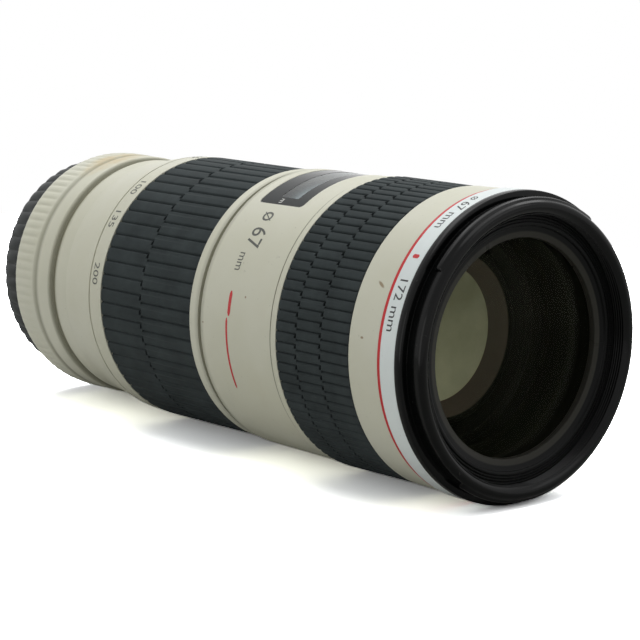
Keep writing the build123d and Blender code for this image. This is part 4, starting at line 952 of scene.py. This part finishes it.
zoom_scale_x = 42.2
zoom_digit = 2.3
zoom_angles = {"70": 90.0, "100": 125.0, "135": 143.0, "200": 168.5}
zoom_strip = cone((40.1, 35.9), (45.4, 36.15))
for number, angle in zoom_angles.items():
    printed("zoom_number_" + number, number, zoom_scale_x, angle, zoom_digit, zoom_strip,
            grey_ink, "zoom_group", stretch=1.25)
print("Zoom scale:", ", ".join(zoom_angles))

# %% [markdown]
# The side of the main barrel carries a printed size and a slim red accent, and
# the silver band carries small plain print. All of it is text and plain strips,
# which are enough at this size.

# %% Side and band print
def tube(radius):
    """The radius along a surface that stays level."""
    return lambda x: radius


main_shell = cone((90.0, 36.85), (118.3, 37.2))
# Words have a place along the axis, an angle and a height. Accents have a place,
# an angle, a length along the axis and a width round it.
side_words = [("side_size", "ø 67", 102.8, 137.5, 5.4), ("side_unit", "mm", 101.4, 152.5, 2.9)]
side_accents = [("side_accent", 101.4, 169.5, 1.1, 6.4),
                ("side_accent_tail", 100.7, 190.0, 0.7, 19.0)]
for name, words, x, angle, height in side_words:
    printed(name, words, x, angle, height, main_shell, grey_ink, "housing", stretch=0.8)
for name, x, angle, along, around in side_accents:
    printed_line(name, x, angle, along, around, main_shell, red_ink, "housing")

band_x = 162.4
band_digit = 2.6
band_print = tube(38.4)
band_words = [("band_size", "ø 67 mm", 115.0), ("band_length", "172 mm", 158.0)]
for name, words, angle in band_words:
    printed(name, words, band_x, angle, band_digit, band_print, black_ink, "housing",
            stretch=1.1)
printed_line("band_accent", band_x, angle=139.5, along=2.2, around=1.1, radius_at=band_print,
             finish=red_ink, body="housing")
print("Prints on the side:", len(side_words + side_accents), "and on the band:",
      len(band_words) + 1)

# %% [markdown]
# Behind a smoked pane turns the drum with the distance scale. Its numbers are
# metres, close together near infinity. They could be printed on the pane, but
# only numbers on the drum turn with the focusing ring.

# %% Distance scale
distance_x = 103.4
distance_digit = 2.6
drum_print = tube(34.9)
distance_angles = {"1.2": 132.0, "1.5": 118.0, "2": 106.0, "3": 95.0, "5": 84.0, "10": 74.0}
for number, angle in distance_angles.items():
    printed("distance_" + number.replace(".", "_"), number, distance_x, angle, distance_digit,
            drum_print, black_ink, "focus_cam")
print("Distance numbers:", ", ".join(distance_angles))

# %% [markdown]
# The pane is printed black round a long slot. A frame with a hole could be cut
# from a sheet. It is simpler to lay four rows of points on the pane, column by
# column, and leave out the faces between the middle rows along the slot.

# %% Print of the pane
pane_black = black("pane_print", colour(36, 40, 40), roughness=0.16, spread=0.04, coat=0.25,
                   bend=1.22).material
pane_columns = 160
pane_middle = 90.0
pane_ends = (94.3, 111.1)
slot_ends = (100.0, 106.6)
pane_half_angle = 34.2
slot_half_angle = 29.5
pane_corner = 1.2
print_radius = 36.84


def off_middle(column):
    """The angle of a column, in degrees from the middle of the pane."""
    return pane_half_angle * (2 * column / pane_columns - 1)


pane_points, pane_faces = [], []
for column in range(pane_columns + 1):
    from_end = math.radians(pane_half_angle - abs(off_middle(column))) * print_radius
    short = corner_cut(from_end, pane_corner)
    turn = math.radians(pane_middle + off_middle(column))
    for x in (pane_ends[0] + short, *slot_ends, pane_ends[1] - short):
        pane_points.append(on_barrel(x, print_radius, turn))
for column in range(pane_columns):
    beside_slot = abs(off_middle(column + 0.5)) < slot_half_angle
    for strip in (0, 2) if beside_slot else (0, 1, 2):
        first = 4 * column + strip
        pane_faces.append((first, first + 1, first + 5, first + 4))
pane_mesh = bpy.data.meshes.new("pane_print")
pane_mesh.from_pydata(pane_points, [], pane_faces)
piece("pane_print", pane_mesh, pane_black, "housing")
printed("unit_mark", "m", x=101.8, angle=121.9, height=1.7, radius_at=tube(print_radius),
        finish=white_ink, body="housing")
print("Pane print faces:", len(pane_faces))

# %% [markdown]
# The switch panel needs plain marks, or nobody could tell which way a switch is
# set. Each slide gets a small 1 and 2 at the two ends of its travel, and a thin
# line parts it from the next. The panel stands proud of the barrel, so the
# height of the print is measured on the panel itself.

# %% Switch marks
panel = nodes["switch_panel"]
panel_corners = [panel.matrix_world @ corner.co for corner in panel.data.vertices]
panel_face = max(math.hypot(corner.y, corner.z) for corner in panel_corners) / MM
panel_print = tube(panel_face)
switch_angles = (18, 6, -6, -18)
travel_ends = (("first", "1", 98.2), ("second", "2", 111.8))
parting_angles = (12, 0, -12)
switch_digit = 1.7
panel_middle = 105.0
line_length, line_width = 15.0, 0.25

for switch, angle in enumerate(switch_angles, start=1):
    for end_name, digit, end_x in travel_ends:
        printed(f"switch_{switch}_{end_name}", digit, end_x, angle, switch_digit, panel_print,
                white_ink, "housing")
for switch, angle in enumerate(parting_angles, start=1):
    printed_line(f"switch_line_{switch}", panel_middle, angle, line_length, line_width,
                 panel_print, grey_ink, "housing")
print("Switch marks lie", round(panel_face, 2), "mm from the axis")

# %% [markdown]
# A product photograph of a white lens is lit softly, so that the barrel reads
# as round. Spot lamps would burn hard streaks into it, so all the lamps are
# rectangles. The largest hangs above, a weaker one fills from the camera's side,
# a small one puts a gleam on the front ring, and a fourth skims over the top
# from behind.

# %% Softboxes
def softbox(name, place, aim, size, power, tint=(1.0, 1.0, 1.0)):
    """A rectangular area light that looks at a point."""
    data = bpy.data.lights.new(name, "AREA")
    data.shape = "RECTANGLE"
    data.size, data.size_y = size
    data.energy = power
    data.color = tint
    made = new_object(name, data)
    made.location = place
    made.rotation_euler = (Vector(aim) - Vector(place)).to_track_quat("-Z", "Y").to_euler()


softbox("top_softbox", place=(0.02, 0.12, 0.95), aim=(0.09, 0, 0), size=(1.3, 1.0), power=7.7)
softbox("side_fill", place=(0.05, -1.30, 0.15), aim=(0.07, 0, 0), size=(1.0, 0.8), power=3.4,
        tint=(1.0, 1.0, 0.97))
softbox("front_gleam", place=(0.85, 0.45, 0.55), aim=(0.17, 0, 0), size=(0.5, 0.5), power=1.0)
softbox("rim_light", place=(-0.10, 0.80, 0.90), aim=(0.12, 0, 0), size=(0.9, 0.4), power=2.6)
print("Lamps:", ", ".join(lamp.name for lamp in bpy.data.lights))

# %% [markdown]
# The picture has a white background, but a white world would flood the lens
# with light. So the world is white only for rays that come straight from the
# camera, or by way of glass or a gloss, and gives a low, even light otherwise.

# %% World
world = bpy.data.worlds.new("studio")
bpy.context.scene.world = world
world.use_nodes = True
sky = NodeTree(world.node_tree)
seen = sky.node("Background", Color=(1, 1, 1, 1), Strength=1.0)
lighting = sky.node("Background", Color=(0.95, 0.98, 1.0, 1), Strength=0.22)
rays = sky.node("LightPath").outputs
straight = sky.math("MAXIMUM", rays["Is Camera Ray"], rays["Is Transmission Ray"])
sees_white = sky.math("MAXIMUM", straight, rays["Is Glossy Ray"])
choice = sky.fill(sky.node("MixShader"), sees_white, lighting.outputs[0], seen.outputs[0])
sky.feed(sky.node("OutputWorld").inputs[0], choice)
bpy.context.scene.view_settings.view_transform = "Standard"
print("World light strength:", round(lighting.inputs["Strength"].default_value, 2))

# %% [markdown]
# The sheet under the lens has to melt into that background and still take a
# shadow. Its colour is far above white for the camera, so only the deepest
# shadow shows. For other rays it is a plain pale grey, which keeps the light that
# it throws back at the lens natural.

# %% Sheet
sheet = Recipe("pale_floor", (5.4, 5.4, 5.4, 1))
mottle = sheet.noise(sheet.where(), scale=3.0)
sheet.paint(sheet.remap(mottle, (0.3, 0.7), (0.0, 1.0)), (5.6, 5.6, 5.6, 1))
camera_ray = sheet.node("LightPath").outputs["Is Camera Ray"]
sheet.set(Base_Color=sheet.mix(camera_ray, colour(198, 198, 194), sheet.base), Roughness=0.85)
floor_mesh.materials.append(sheet.material)
print("Sheet finished with", sheet.material.name)
